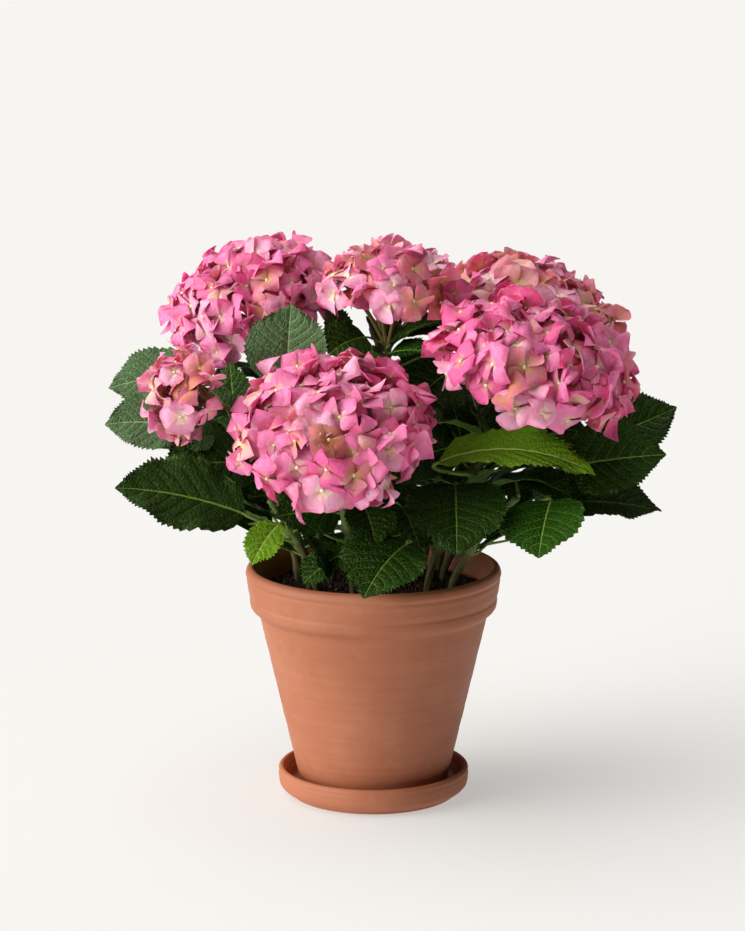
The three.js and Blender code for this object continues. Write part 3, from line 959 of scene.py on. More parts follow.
@dataclass(frozen=True)
class Leaf:
    """One leaf: its node's height on the stem, its stalk's end, and how its blade lies.

    The stalk ends the reach away from the stem, in the direction toward, and climbs by rise. The
    blade starts there towards heading, lifted by lift, and turns by bend along its length. Roll
    turns it about its midrib, and frill is how much its edge waves.
    """

    at: float
    toward: float
    reach: float
    heading: float
    lift: float
    bend: float
    roll: float
    length: float
    width: float
    rise: float | None = None
    tone: Tone = Tone.DARK
    frill: float = 1.0
    node: tuple[float, float, float] = (0.0, 0.0, 0.0)

    @property
    def base(self) -> Array:
        """The end of the stalk, where the blade starts.

        Returns:
            Its x, y and z.
        """
        toward = math.radians(self.toward)
        rise = LeafForm.RISE * self.reach if self.rise is None else self.rise
        return np.array(self.node) + [self.reach * math.cos(toward), self.reach * math.sin(toward), rise]


@dataclass(frozen=True)
class LeafForm:
    """The shape that all leaves share, as rows that follow the side veins and columns across.

    Side veins start from the first vein's share of the midrib on, over the span, and closer
    together towards the tip by the power of the crowding. Widths and depths are those of a leaf
    100 long.
    """

    RISE = 0.35
    RIB_COLUMN = 0.03
    FIRST_VEIN, VEIN_SPAN, VEIN_CROWDING = 0.05, 0.72, 0.9
    LAST_SHARE = 0.9995

    veins: int = 7
    between: int = 5
    sweep: float = 0.8
    fold: float = 12
    fullness: float = 0.6
    tip_fullness: float = 0.7
    tip_drawn: float = 0.55
    thickness: float = 0.35
    tooth: float = 2.1
    quilt: float = 2.3
    frill: float = 1.9
    vein_width: float = 0.4
    rib_width: float = 1.05
    columns: tuple[float, ...] = (0.2, 0.42, 0.66, 0.88, 1.0)

    def rows(self) -> tuple[Array, Array, Array, Array]:
        """Lays out the rows from the foot to the tip.

        Returns:
            For each row its share of the midrib's length, the side of a vein that it runs on (-1,
            1, or 0 between veins), its swell between veins from 0 to 1, and its tooth, 1 or -1.
        """
        starts = self.FIRST_VEIN + self.VEIN_SPAN * np.linspace(0, 1, self.veins) ** self.VEIN_CROWDING
        rows = [(0.0, 0, 0.0, 0), (0.006, 0, 0.2, 0), (0.018, 0, 0.5, 1), (0.03, 0, 0.4, -1)]
        for start, after in zip(starts, [*starts[1:], 1.0]):
            rows += [(start, -1, 0.0, 1), (start, 1, 0.0, 1)]
            for j in range(1, self.between + 1):
                part = j / (self.between + 1)
                swell = math.sin(math.pi * part) ** 0.6
                rows.append((start + (after - start) * part, 0, swell, 1 if j % 2 == 0 else -1))
        rows.append((1.0, 0, 0.0, 0))
        return tuple(np.array(rows, float).T)

    def plain_outline(self, share: Array) -> Array:
        """Half the width as a share of its largest: s^a (1-s)^b over its peak.

        Args:
            share: Shares of the length from the foot.

        Returns:
            A share for each.
        """
        a, b = self.fullness, self.tip_fullness
        peak = (a / (a + b)) ** a * (b / (a + b)) ** b
        return share**a * (1 - share) ** b / peak

    def outline(self, share: Array) -> Array:
        """The plain outline with its tip drawn out to a point."""
        held = np.clip(share, 0, 1)
        return self.plain_outline(held) * (1 - self.tip_drawn * smooth(0.7, 1.0, held))

    @staticmethod
    def midrib(leaves: list[Leaf], share: Array) -> tuple[Array, Array, Array, Array]:
        """The place, way on, side and upper face of the midribs at shares of their length.

        The slope turns evenly along the midrib, which is therefore an arc of a circle.

        Args:
            leaves: The leaves.
            share: Shares of the length, in an array whose first axis is the leaves.

        Returns:
            Four arrays of the shape of share with a last axis x, y and z.
        """
        column = (slice(None), *[None] * (share.ndim - 1))
        heading, lift, bend, roll = (
            np.radians([getattr(leaf, name) for leaf in leaves])[column]
            for name in ("heading", "lift", "bend", "roll")
        )
        length = np.array([leaf.length for leaf in leaves])[column]
        base = np.array([leaf.base for leaf in leaves])[(*column, slice(None))]
        slope = lift + bend * share
        forward = (np.sin(slope) - np.sin(lift)) / bend * length
        upward = -(np.cos(slope) - np.cos(lift)) / bend * length
        nothing = np.zeros_like(slope)
        ahead = np.stack(np.broadcast_arrays(np.cos(heading), np.sin(heading), nothing), -1)
        flat_side = np.stack(np.broadcast_arrays(np.sin(heading), -np.cos(heading), nothing), -1)
        place = base + ahead * forward[..., None] + UP * upward[..., None]
        way = ahead * np.cos(slope)[..., None] + UP * np.sin(slope)[..., None]
        flat_face = np.cross(flat_side, way)
        turn_cos, turn_sin = np.cos(roll)[..., None], np.sin(roll)[..., None]
        side = flat_side * turn_cos + flat_face * turn_sin
        face = flat_face * turn_cos - flat_side * turn_sin
        return place, way, side, face

    def blade_samples(self, leaf: Leaf) -> Array:
        """A few points spread over a blade, for the room that it needs.

        Args:
            leaf: The leaf.

        Returns:
            Points by x, y and z.
        """
        along = np.array([0.04, 0.15, 0.27, 0.39, 0.51, 0.63, 0.75, 0.87, 0.97])
        across = np.array([-1, -0.66, -0.33, 0, 0.33, 0.66, 1])
        place, _, side, face = self.midrib([leaf], along[None])
        half = (leaf.width / 2 * self.plain_outline(along)[:, None] * across)[..., None]
        fold = math.radians(self.fold)
        spread = side[0][:, None] * half * math.cos(fold)
        rise = face[0][:, None] * np.abs(half) * math.sin(fold)
        return (place[0][:, None] + spread + rise).reshape(-1, 3)

    def add(self, shell: Shell, leaves: list[Leaf], seed: int) -> None:
        """Adds the blades of leaves, each a thin closed quilted sheet with a toothed edge.

        A row leaves the midrib at share s and bends forward as sweep s^0.5 (1-s) |v|, as the
        side veins do. Across it, a half rises from the midrib by the fold; between veins it swells;
        its edge waves and ends in teeth that point forward. The midrib is a furrow above and a ridge
        below, and the veins are lower ridges.

        Args:
            shell: Where the blades go. Finish numbers are four to a tone, in the order of Tone.
            leaves: The leaves.
            seed: Picks the waves of the edges.
        """
        draw = np.random.default_rng(seed)
        count = len(leaves)
        share, vein_side, swell, tooth = self.rows()
        rib = self.RIB_COLUMN
        column = np.array([-c for c in self.columns[::-1]] + [-rib, 0.0, rib] + list(self.columns))
        wide = np.abs(column)
        length, width, frill = (
            np.array([getattr(leaf, name) for leaf in leaves])[:, None, None]
            for name in ("length", "width", "frill")
        )
        size = length / 100

        lead = self.sweep * np.sqrt(share) * (1 - share)
        along = share[:, None] + lead[:, None] * wide
        along = along[None] + vein_side[None, :, None] * self.vein_width * (1 - 0.6 * wide) / length
        along = np.clip(along, 0.0, self.LAST_SHARE)
        half = 0.5 * width * self.outline(along)
        on_midrib = (wide <= rib)[None, None]
        rib_half = np.minimum(self.rib_width * size**0.5 * (1 - 0.75 * along), 0.4 * half + 0.05)
        aside = np.where(on_midrib, np.sign(column) * rib_half, half * column)

        edge = (wide == 1.0)[None, None]
        teeth = tooth[None, :, None] * edge * draw.uniform(0.7, 1.15, (count, len(share), 1))
        room = smooth(0.0, 0.12, along) * smooth(1.0, 0.9, along)
        teeth = teeth * room * np.minimum(self.tooth * size**0.6, 0.22 * half + 0.1)
        aside = aside + np.sign(column) * np.where(teeth > 0, teeth, 0.45 * teeth)
        along = np.clip(along + np.where(teeth > 0, 0.9 * teeth, 0) / length, 0, 1)

        phase = draw.uniform(0, 2 * np.pi, (count, 1, 1))
        handed = np.where(column < 0, 1.9, 0.0)
        wave = np.sin(2 * np.pi * 2.3 * along + phase + handed)
        wave = wave + 0.5 * np.sin(2 * np.pi * 5.1 * along + 2 * phase)
        lift = np.abs(aside) * math.sin(math.radians(self.fold))
        lift = lift + self.quilt * size * swell[None, :, None] * np.sqrt(wide) * (1 - wide**3) * room
        lift = lift + self.frill * size * frill * wave * wide**2 * room
        lift = lift - 0.45 * np.where(column == 0, 1.0, 0.0) * np.minimum(rib_half, 1.0)

        place, _, side, face = self.midrib(leaves, along)
        spread = side * (aside * math.cos(math.radians(self.fold)))[..., None]
        upper = place + spread + face * lift[..., None]
        ridge = np.where(on_midrib, 1.5 * rib_half * (1 - 0.5 * along), 0.0)
        ridge = ridge + np.abs(vein_side)[None, :, None] * 0.35 * (1 - wide) * size
        lower = upper - face * (self.thickness + ridge)[..., None]

        on_vein = (vein_side[:-1] == -1) & (vein_side[1:] == 1)
        on_rib = np.maximum(wide[:-1], wide[1:]) <= rib
        upper_kind = np.where(on_rib[None], 2, np.where(on_vein[:, None], 1, 0))
        lower_kind = np.where(on_rib[None], 2, 3)
        tone = np.array([4 * list(Tone).index(leaf.tone) for leaf in leaves])[:, None, None]
        add_thin_blades(shell, upper, lower, tone + upper_kind, tone + lower_kind)


# ---------------------------------------------------------------- shoots and heads


@dataclass(frozen=True)
class Head:
    """A flattened dome of florets round an axis.

    The radius is measured across the axis, share gives the height as a part of it, and cap is the
    polar angle at which the dome ends below. Florets stop the bare angle short of that, and the rays
    part at the fork, a share of the way from the shoot's tip to the centre.
    """

    centre: tuple[float, float, float]
    axis: tuple[float, float, float]
    radius: float
    share: float
    cap: float
    blossom: tuple[float, ...]
    rays: int = 7
    bare: float = 0.0
    fork: float = 0.35

    def frame(self) -> tuple[Array, Array, Array, Array]:
        """The middle, the axis and two directions across it.

        Returns:
            Four arrays of x, y and z.
        """
        axis = unit(np.array(self.axis, float))
        first = unit(np.cross(axis, [0.01, 1, 0.02]))
        return np.array(self.centre, float), axis, first, np.cross(axis, first)

    def places(self, polar: Array, turn: Array, share: Array | float) -> Array:
        """Points of the dome at polar angles and turns in radians, at a share of its full size.

        Args:
            polar: Angles from the axis.
            turn: Angles round it.
            share: The size, one for all or one for each.

        Returns:
            Points by x, y and z.
        """
        middle, axis, first, second = self.frame()
        aside = (self.radius * share * np.sin(polar))[..., None]
        along = (self.radius * self.share * share * np.cos(polar))[..., None]
        way = np.cos(turn)[..., None] * first + np.sin(turn)[..., None] * second
        return middle + along * axis + aside * way

    def outward(self, places: Array) -> Array:
        """Directions square to the dome at points of it.

        Args:
            places: The points.

        Returns:
            A direction for each.
        """
        middle, axis, _, _ = self.frame()
        offset = places - middle
        along = (offset @ axis)[..., None] * axis
        return unit(offset + (1 / self.share**2 - 1) * along)

    def holds(self, points: Array, room: float) -> bool:
        """Whether any of the points lies inside the dome grown by room.

        Args:
            points: The points.
            room: How far the dome is grown.

        Returns:
            True if any is inside.
        """
        middle, axis, _, _ = self.frame()
        offset = points - middle
        along = offset @ axis
        aside = np.sqrt(np.maximum(0, (offset**2).sum(-1) - along**2))
        height = self.radius * self.share
        low = math.cos(math.radians(self.cap)) * height - room
        inside = (aside / (self.radius + room)) ** 2 + (along / (height + room)) ** 2 < 1
        return bool((inside & (along > low)).any())


@dataclass(frozen=True)
class Shoot:
    """One stem from its foot in the soil to its tip, with its placed leaves and its head."""

    foot: tuple[float, float]
    tip: tuple[float, float, float]
    placed: tuple[Leaf, ...] = ()
    head: Head | None = None
    lesser: tuple[Leaf, ...] = ()

    def at(self, height: Array | float) -> Array:
        """The stem's middle at a height; it starts upright and leans more as it rises.

        Args:
            height: One height or more.

        Returns:
            A point for each.
        """
        height = np.asarray(height, float)
        share = np.maximum(0, (height - Shrub.SOIL_TOP) / (self.tip[2] - Shrub.SOIL_TOP)) ** Shrub.LEAN
        foot, tip = np.array(self.foot, float), np.array(self.tip[:2], float)
        flat = foot + share[..., None] * (tip - foot)
        return np.concatenate([flat, height[..., None]], -1)


def leaf_rows(*rows: tuple) -> tuple[Leaf, ...]:
    """Leaves from rows of numbers in the order of Leaf's fields; a dictionary may end a row.

    Args:
        rows: The rows.

    Returns:
        The leaves, not yet set on a stem.
    """
    return tuple(
        Leaf(*row[:-1], **row[-1]) if isinstance(row[-1], dict) else Leaf(*row) for row in rows
    )


SHOOTS = {
    "front": Shoot(
        (-16, -42), (-30, -66, 284),
        leaf_rows(
            (244, 125, 7, -158, 12, -20, 50, 56, 48),
            (250, -10, 16, -75, -15, -35, 0, 47, 42),
            (210, -42, 62, -128, -12, -38, 12, 68, 74),
            (208, -125, 18, -160, -25, -20, 25, 36, 34),
        ),
        Head((-33, -85, 315), (-0.05, -0.5, 0.86), 81, 0.66, 100, (0.54, 0.13, 0.25, 0.03, 0.04, 0.01)),
        lesser=leaf_rows((236, 15, 45, -62, -26, -35, 10, 47, 44)),
    ),
    "left_back": Shoot(
        (-34, 26), (-84, 92, 362),
        # this leaf takes the pale grey tone as a painted sheen, in place of the reflection that it catches
        leaf_rows((315, -93, 68, 75, 90, -20, 0, 70, 70, {"tone": Tone.GREY})),
        Head((-99, 108, 388), (-0.33, -0.15, 0.93), 75, 0.7, 108, (0.42, 0.12, 0.37, 0.04, 0.03, 0.02)),
        lesser=leaf_rows((344, -25, 53, 144, 84, -20, 0, 38, 38, {"rise": 18})),
    ),
    "centre": Shoot(
        (6, 6), (12, 14, 380),
        leaf_rows(
            (374, -170, 18, -140, 5, -40, 35, 42, 42),
            (362, -85, 26, -35, 22, -30, -25, 36, 28),
            (376, -40, 20, 10, 16, -25, -15, 38, 22),
            (334, 10, 64, -150, -20, -25, 40, 58, 70),
        ),
        Head(
            (14, 15, 411), (0.05, -0.05, 1), 57, 0.78, 98,
            (0.17, 0.04, 0.38, 0.12, 0.25, 0.04), rays=11, bare=8, fork=-0.4,
        ),
        lesser=leaf_rows(
            (370, -86, 13, -28, 42, -30, -20, 53, 38),
            (357, 113, 14, 161, 79, -20, 0, 35, 34, {"rise": 5}),
            (266, -2, 56, -149, 76, -25, 25, 53, 52, {"rise": 20}),
            (347, -67, 24, -136, 49, -25, 20, 36, 30),
        ),
    ),
    "right_back": Shoot(
        (40, 34), (126, 104, 340), (),
        Head((134, 114, 374), (0.36, 0, 0.93), 77, 0.66, 104, (0.02, 0.0, 0.22, 0.34, 0.32, 0.1)),
        lesser=leaf_rows((338, -147, 74, 152, 77, -20, 0, 50, 52, {"rise": 26})),
    ),
    "right_front": Shoot(
        (44, -20), (112, -34, 322),
        leaf_rows(
            (273, 80, 60, 5, 15, -30, -35, 89, 66),
            (262, -110, 27, -90, -10, -45, 0, 82, 82),
            (275, -130, 48, -10, 25, -55, -30, 132, 44, {"tone": Tone.YOUNG}),
            (290, 150, 20, -165, -5, -30, 35, 78, 62),
            (240, 175, 16, -160, 15, -40, 35, 66, 52),
        ),
        Head((126, -46, 362), (0.3, -0.22, 0.92), 82, 0.66, 102, (0.44, 0.34, 0.1, 0.06, 0.04, 0.02)),
        lesser=leaf_rows(
            (276, 114, 26, 136, 85, -20, 0, 48, 50),
            (282, 28, 18, 158, 67, -25, -20, 46, 44),
        ),
    ),
    "left_small": Shoot(
        (-52, -10), (-116, -36, 330),
        leaf_rows((272, -150, 12, -160, 20, -40, 40, 80, 74, {"rise": 8})),
        Head((-148, -55, 346), (-0.75, -0.45, 0.35), 36, 0.85, 112, (0.16, 0.04, 0.42, 0.08, 0.26, 0.04), 5),
    ),
    "back": Shoot(
        (4, 52), (-12, 122, 246), (),
        Head((-12, 162, 279), (0, 0.55, 0.83), 74, 0.72, 108, (0.46, 0.24, 0.12, 0.08, 0.06, 0.04)),
    ),
    "left_low": Shoot(
        (-46, -34), (-84, -66, 262),
        leaf_rows(
            (238, -140, 42, -170, 24, -20, 50, 108, 66, {"frill": 1.8}),
            (235, -102, 34, -130, -25, -30, 25, 44, 30, {"tone": Tone.YOUNG}),
        ),
        lesser=leaf_rows((232, -54, 12, -37, -39, -30, 20, 51, 34)),
    ),
    "left_side": Shoot(
        (-62, 16), (-112, 14, 318),
        leaf_rows(
            (316, -20, 17, -165, -5, -20, 45, 50, 42),
            (289, -150, 53, 175, 15, -25, 50, 76, 54, {"tone": Tone.GREY}),
            (318, 155, 34, 170, 5, -25, 45, 78, 56, {"rise": 24, "tone": Tone.GREY}),
            (304, -135, 12, 110, 82, -10, 50, 52, 42),
        ),
        lesser=leaf_rows((294, -129, 45, -162, -1, -25, 40, 34, 44)),
    ),
    "right_low": Shoot(
        (62, -38), (116, -54, 262),
        leaf_rows(
            (247, -30, 45, -105, -20, -40, -10, 59, 72, {"tone": Tone.DEEP}),
            (236, 10, 48, 5, 5, -20, -20, 94, 62),
        ),
        lesser=leaf_rows(
            (262, 84, 19, -22, -3, -25, -15, 47, 44, {"rise": 11}),
            (218, 22, 67, 137, 83, -20, 0, 32, 42, {"rise": 23}),
        ),
    ),
    "right_side": Shoot(
        (58, 30), (146, 4, 286),
        leaf_rows(
            (261, -45, 44, -10, 15, -10, -55, 90, 66),
            (268, 25, 57, 10, 15, 10, -50, 80, 56),
            (208, -5, 45, -150, -5, -15, 10, 44, 34, {"rise": 14, "tone": Tone.DEEP}),
        ),
    ),
    "back_left": Shoot((-40, 56), (-104, 120, 300)),
    "back_right": Shoot((54, 54), (112, 140, 262)),
}


class NumberSource:
    """Repeatable numbers: each is the last one times the factor, plus the step, modulo the range."""

    FACTOR, STEP, RANGE = 1664525, 1013904223, 2**32

    def __init__(self, seed: int) -> None:
        """Starts at a seed."""
        self.state = seed

    def draw(self, low: float, high: float) -> float:
        """The next number between low and high."""
        self.state = (self.state * self.FACTOR + self.STEP) % self.RANGE
        return low + (high - low) * self.state / self.RANGE


@dataclass(frozen=True)
class Filling:
    """How leaves fill the crown between the placed ones, and the room that they keep.

    Pairs start at first above the join of the shoots and follow at each step. A leaf keeps the
    distances leaf, stalk, stem and head from others' blades, stalks, stems and heads, and stays
    below top, within outside of the axis and behind front.
    """

    seed: int
    first: float
    step: float
    tries: int
    length: tuple[float, float]
    reach: tuple[float, float]
    shrink: float
    leaf: float
    stalk: float
    stem: float
    head: float
    top: float
    outside: float
    front: float = -62
    width_share: float = 0.68
    turn_spread: float = 50
    lift: tuple[float, float] = (-5, 45)
    bend: tuple[float, float] = (-65, -25)
    roll: tuple[float, float] = (-20, 20)


LARGE = Filling(83, 10, 20, 60, (66, 104), (14, 58), 0.993, 8, 6, 7, 6, 352, 212)
SMALL = Filling(23, 6, 13, 26, (30, 62), (8, 46), 0.985, 4.5, 3.5, 4.5, 3, 372, 196, lift=(-10, 60))


class Room:
    """Points that are taken, with a quick test of how near the closest is."""

    def __init__(self) -> None:
        """Starts with no points."""
        self.points: list[Array] = []
        self.tree = kdtree.KDTree(0)
        self.tree.balance()

    def take(self, points: Array) -> None:
        """Adds points to those that are taken.

        Args:
            points: Points by x, y and z.
        """
        self.points.append(points)
        everything = np.concatenate(self.points)
        self.tree = kdtree.KDTree(len(everything))
        for number, place in enumerate(everything.tolist()):
            self.tree.insert(place, number)
        self.tree.balance()

    def near(self, points: Array, room: float) -> bool:
        """Whether a taken point lies closer than room to any of the points.

        Args:
            points: The points that want room.
            room: The distance to keep.

        Returns:
            True if one is too close.
        """
        if not self.points:
            return False
        for place in points.tolist():
            distance = self.tree.find(place)[2]
            if distance is not None and distance < room:
                return True
        return False


@dataclass
class Crown:
    """The leaves of the whole shrub, grown by one rule from seeded numbers."""

    # a leaf keeps above the soil and the rim, and beyond the rim above a slope that climbs outwards
    SOIL_ROOM, RIM_INSIDE, RIM_OUTSIDE, RIM_ROOM = 10, 88, 114, 206
    HANG, HANG_SLOPE = 210, 0.75
    BARE_TIP = 4
    TONES_LARGE = (Tone.DARK, Tone.DEEP, Tone.DARK, Tone.GREY, Tone.DEEP, Tone.DARK)
    TONES_SMALL = (Tone.DEEP, Tone.DARK, Tone.FRESH, Tone.DARK)

    form: LeafForm = field(default_factory=LeafForm)
    leaves: dict[str, list[Leaf]] = field(default_factory=lambda: {name: [] for name in SHOOTS})
    blades: Room = field(default_factory=Room)
    stalks: Room = field(default_factory=Room)
    stems: dict[str, Array] = field(default_factory=dict)

    def settle(self, shoot: Shoot, leaf: Leaf) -> Leaf:
        """A leaf with its node's place on the stem worked out."""
        return replace(leaf, node=tuple(shoot.at(leaf.at).tolist()))

    def stalk_samples(self, leaf: Leaf) -> Array:
        """A few points of a leaf's stalk, which sags by 0.06 of its length.

        Args:
            leaf: The leaf.

        Returns:
            Points by x, y and z.
        """
        share = np.array([0.3, 0.45, 0.6, 0.75, 0.9])[:, None]
        node = np.array(leaf.node)
        span = leaf.base - node
        return node + share * span - UP * 4 * share * (1 - share) * 0.06 * np.linalg.norm(span)

    def keep(self, name: str, leaf: Leaf) -> None:
        """Adds a leaf to a shoot and takes its room.

        Args:
            name: The shoot's name.
            leaf: The leaf.
        """
        self.leaves[name].append(leaf)
        self.blades.take(self.form.blade_samples(leaf))
        self.stalks.take(self.stalk_samples(leaf))

    def has_room(self, name: str, leaf: Leaf, rule: Filling) -> bool:
        """Whether a leaf stays in the crown's space and clear of leaves, stems and heads.

        Args:
            name: Name of the shoot that it grows on.
            leaf: The leaf.
            rule: The room to keep.

        Returns:
            True if it has room.
        """
        blade, stalk = self.form.blade_samples(leaf), self.stalk_samples(leaf)
        everything = np.vstack([blade, stalk])
        x, y, z = everything.T
        radius = np.hypot(x, y)
        beyond = np.maximum(0, np.maximum(np.abs(x), -y) - self.RIM_OUTSIDE)
        outside = (z < Shrub.SOIL_TOP + self.SOIL_ROOM) | (z > rule.top) | (radius > rule.outside)
        outside |= (radius > self.RIM_INSIDE) & (radius < self.RIM_OUTSIDE) & (z < self.RIM_ROOM)
        outside |= y < rule.front
        outside |= (radius > self.RIM_OUTSIDE) & (z < self.HANG + self.HANG_SLOPE * beyond)
        if outside.any():
            return False
        heads = [shoot.head for shoot in SHOOTS.values() if shoot.head]
        if any(head.holds(everything, rule.head) for head in heads):
            return False
        for other, points in self.stems.items():
            tested = blade if other == name else everything
            if (((tested[:, None] - points) ** 2).sum(-1) < rule.stem**2).any():
                return False
        return not (
            self.blades.near(blade, rule.leaf)
            or self.stalks.near(everything, rule.stalk)
            or self.blades.near(stalk, rule.stalk)
        )

    def fill(self, rule: Filling, tones: tuple[Tone, ...]) -> None:
        """Grows pairs of leaves up every stem, each pair turned a quarter from the one below.

        Each half of a pair has a number of tries, and each try is a little smaller.

        Args:
            rule: The sizes, the room to keep and the seed.
            tones: The greens that the leaves take in turn.
        """
        source = NumberSource(rule.seed)
        turns = {name: source.draw(0, 180) for name in SHOOTS}
        level, grown, at = 0, 0, Shrub.JOIN + rule.first
        while at < rule.top:
            for name, shoot in SHOOTS.items():
                if at > shoot.tip[2] - self.BARE_TIP:
                    continue
                for half in (0, 180):
                    turn = turns[name] + 90 * level + half
                    leaf = self.first_that_fits(name, shoot, at, turn, rule, source)
                    if leaf:
                        self.keep(name, replace(leaf, tone=tones[grown % len(tones)]))
                        grown += 1
            level += 1
            at = Shrub.JOIN + rule.first + level * rule.step

    def first_that_fits(
        self, name: str, shoot: Shoot, at: float, turn: float, rule: Filling, source: NumberSource
    ) -> Leaf | None:
        """Draws leaves at a node until one has room, or gives up.

        Args:
            name: The shoot's name.
            shoot: The shoot.
            at: The node's height.
            turn: The direction that it should grow in.
            rule: The sizes and the room.
            source: Where the numbers come from.

        Returns:
            The leaf, or nothing.
        """
        for attempt in range(rule.tries):
            toward = turn + source.draw(-rule.turn_spread, rule.turn_spread)
            length = source.draw(*rule.length) * rule.shrink**attempt
            reach, lift, bend, roll = (
                source.draw(*limits) for limits in (rule.reach, rule.lift, rule.bend, rule.roll)
            )
            width = rule.width_share * length
            leaf = self.settle(shoot, Leaf(at, toward, reach, toward, lift, bend, roll, length, width))
            if self.has_room(name, leaf, rule):
                return leaf
        return None

    def grow(self) -> None:
        """Sets the placed leaves, then the large and the small filling ones."""
        for name, shoot in SHOOTS.items():
            top = shoot.head.centre if shoot.head else shoot.tip
            stem = shoot.at(np.linspace(Shrub.SOIL_TOP, shoot.tip[2], 24))
            share = np.arange(1, 9)[:, None] / 8
            self.stems[name] = np.vstack([stem, np.array(shoot.tip) + share * (np.array(top) - shoot.tip)])
            for leaf in shoot.placed:
                self.keep(name, self.settle(shoot, leaf))
        self.fill(LARGE, self.TONES_LARGE)
        LOG.info("large leaves: %d", sum(map(len, self.leaves.values())))
        for name, shoot in SHOOTS.items():
            for leaf in shoot.lesser:
                self.keep(name, self.settle(shoot, leaf))
        self.fill(SMALL, self.TONES_SMALL)
        LOG.info("all leaves: %d", sum(map(len, self.leaves.values())))


@dataclass
class Shrub:
    """The stems with their bark and leaf stalks, and the blades that they carry.

    The shoots leave the soil at SOIL_TOP, turn from bark to green at JOIN, and lean outwards by the
    power LEAN of how far they have risen. Leaves shorter than SMALL_LEAF have a form with fewer
    veins and teeth.
    """

    SOIL_TOP = 176.0
    JOIN = 204.0
    LEAN = 1.5
    SMALL_LEAF = 60.0
    RINDS = (
        ("brown_bark", "5a5628", "3b3319", 0.7, 0.4),
        ("green_stem", "587029", "4a4a22", 0.5, 0.2),
        ("leaf_stalk", "6f8b35", "566a2b", 0.45, 0.12),
    )

    foot_radius: float = 3.1
    join_radius: float = 2.8
    tip_radius: float = 2.2
    node_swell: float = 0.9
    node_height: float = 3.2
    sunk: float = 14
    sides: int = 18
    ring_step: float = 2.2
    stalk_sides: int = 9
    stalk_steps: int = 12
    crown: Crown = field(default_factory=Crown)
    small_form: LeafForm = LeafForm(veins=6, between=3, columns=(0.3, 0.62, 0.88, 1.0))

    def build(self) -> None:
        """Grows the crown and makes every shoot's stem and blades."""
        self.crown.grow()
        skins = [skin for tone in Tone for skin in GREENS[tone].materials(tone.value)]
        wood = [Rind(*row).material() for row in self.RINDS]
        for seed, (name, shoot) in enumerate(SHOOTS.items()):
            leaves = self.crown.leaves[name]
            stem = Shell()
            self._add_stem(stem, shoot, leaves, seed)
            self._add_stalks(stem, leaves)
            stem.piece(f"shoot_{name}", wood, "stem", f"stem_{name}")
            blades = Shell()
            for form, small in ((self.crown.form, False), (self.small_form, True)):
                chosen = [leaf for leaf in leaves if (leaf.length < self.SMALL_LEAF) == small]
                if chosen:
                    form.add(blades, chosen, 100 + seed)
            blades.piece(f"blades_{name}", skins, "leaf", f"leaves_{name}")

    def _add_stem(self, shell: Shell, shoot: Shoot, leaves: list[Leaf], seed: int) -> None:
        """Adds a stem whose radius falls from foot to tip and swells at its leaves' nodes.

        The radius also follows the bark: furrows, waves of height and turn, deep in the brown foot
        and shallow in the green part, which starts at an uneven height.

        Args:
            shell: Where it goes.
            shoot: The shoot.
            leaves: Its leaves.
            seed: Picks the bark's waves.
        """
        low, high = self.SOIL_TOP - self.sunk, shoot.tip[2]
        height = np.arange(low, high + 0.1, self.ring_step)
        thick = [self.foot_radius, self.join_radius, self.tip_radius]
        radius = np.interp(height, [low, self.JOIN, high], thick)
        for leaf in leaves:
            swell = self.node_swell * np.exp(-(((height - leaf.at) / self.node_height) ** 2))
            radius = radius + swell * (radius / self.join_radius)
        turn = 2 * np.pi * np.arange(self.sides) / self.sides
        upright = height[:, None]
        skin = np.stack(np.broadcast_arrays(9 * np.cos(turn), 9 * np.sin(turn), 0.16 * upright), -1)
        brown = 1 - smooth(self.JOIN - 4, self.JOIN + 30, height + 9 * np.sin(seed * 1.7))
        furrows = (0.06 + 0.34 * brown[:, None]) * ripples(skin, 5.5, 50 + seed)
        unrolled = np.stack(np.broadcast_arrays(turn, turn * 0, upright), -1)
        radii = radius[:, None] + furrows + 0.22 * ripples(unrolled, 14, 70 + seed)
        finish = np.where(0.5 * (brown[:-1] + brown[1:]) > 0.5, 0, 1)
        add_tubes(shell, shoot.at(height)[None], radii[None], self.sides, finish[None])

    def _add_stalks(self, shell: Shell, leaves: list[Leaf]) -> None:
        """Adds leaf stalks: cubic curves from the node to the blade's foot, on along its midrib.

        Args:
            shell: Where they go.
            leaves: The leaves.
        """
        if not leaves:
            return
        node = np.array([leaf.node for leaf in leaves])
        base = np.array([leaf.base for leaf in leaves])
        way = LeafForm.midrib(leaves, np.zeros((len(leaves), 1)))[1][:, 0]
        span = np.linalg.norm(base - node, axis=1, keepdims=True)
        leave = node + 0.4 * (base - node) - UP * 0.09 * span
        arrive = base - way * 0.3 * span
        paths = curve(np.stack([node, leave, arrive, base], 1), self.stalk_steps)
        paths = np.concatenate([paths, paths[:, -1:] + way[:, None] * 3], 1)
        share = np.linspace(0, 1, self.stalk_steps + 1)
        taper = np.interp(share, [0, 0.12, 0.3, 0.9, 1], [2.9, 2.1, 1.7, 1.45, 0.7])
        size = np.array([leaf.length for leaf in leaves])[:, None] / 85
        add_tubes(shell, paths, taper * np.clip(size, 0.45, 1.1) ** 0.7, self.stalk_sides, 2)


# ---------------------------------------------------------------- flower heads


class Blossom(Enum):
    """The shades that florets come in."""

    PINK = "pink"
    ROSE = "rose"
    PALE = "pale"
    SALMON = "salmon"
    CREAM = "cream"
    TAN = "tan"


BLOSSOM_COLOURS = {
    Blossom.PINK: ("eea2a2", "f67fac", "f0689f"),
    Blossom.ROSE: ("da8486", "ea6094", "da4a82"),
    Blossom.PALE: ("f6ccb4", "faa4c2", "f684ae"),
    Blossom.SALMON: ("dea06e", "ec8a92", "ee749a"),
    Blossom.CREAM: ("ecc88c", "f4aaa2", "f28cac"),
    Blossom.TAN: ("a46834", "cf7c6c", "e06c8c"),
}
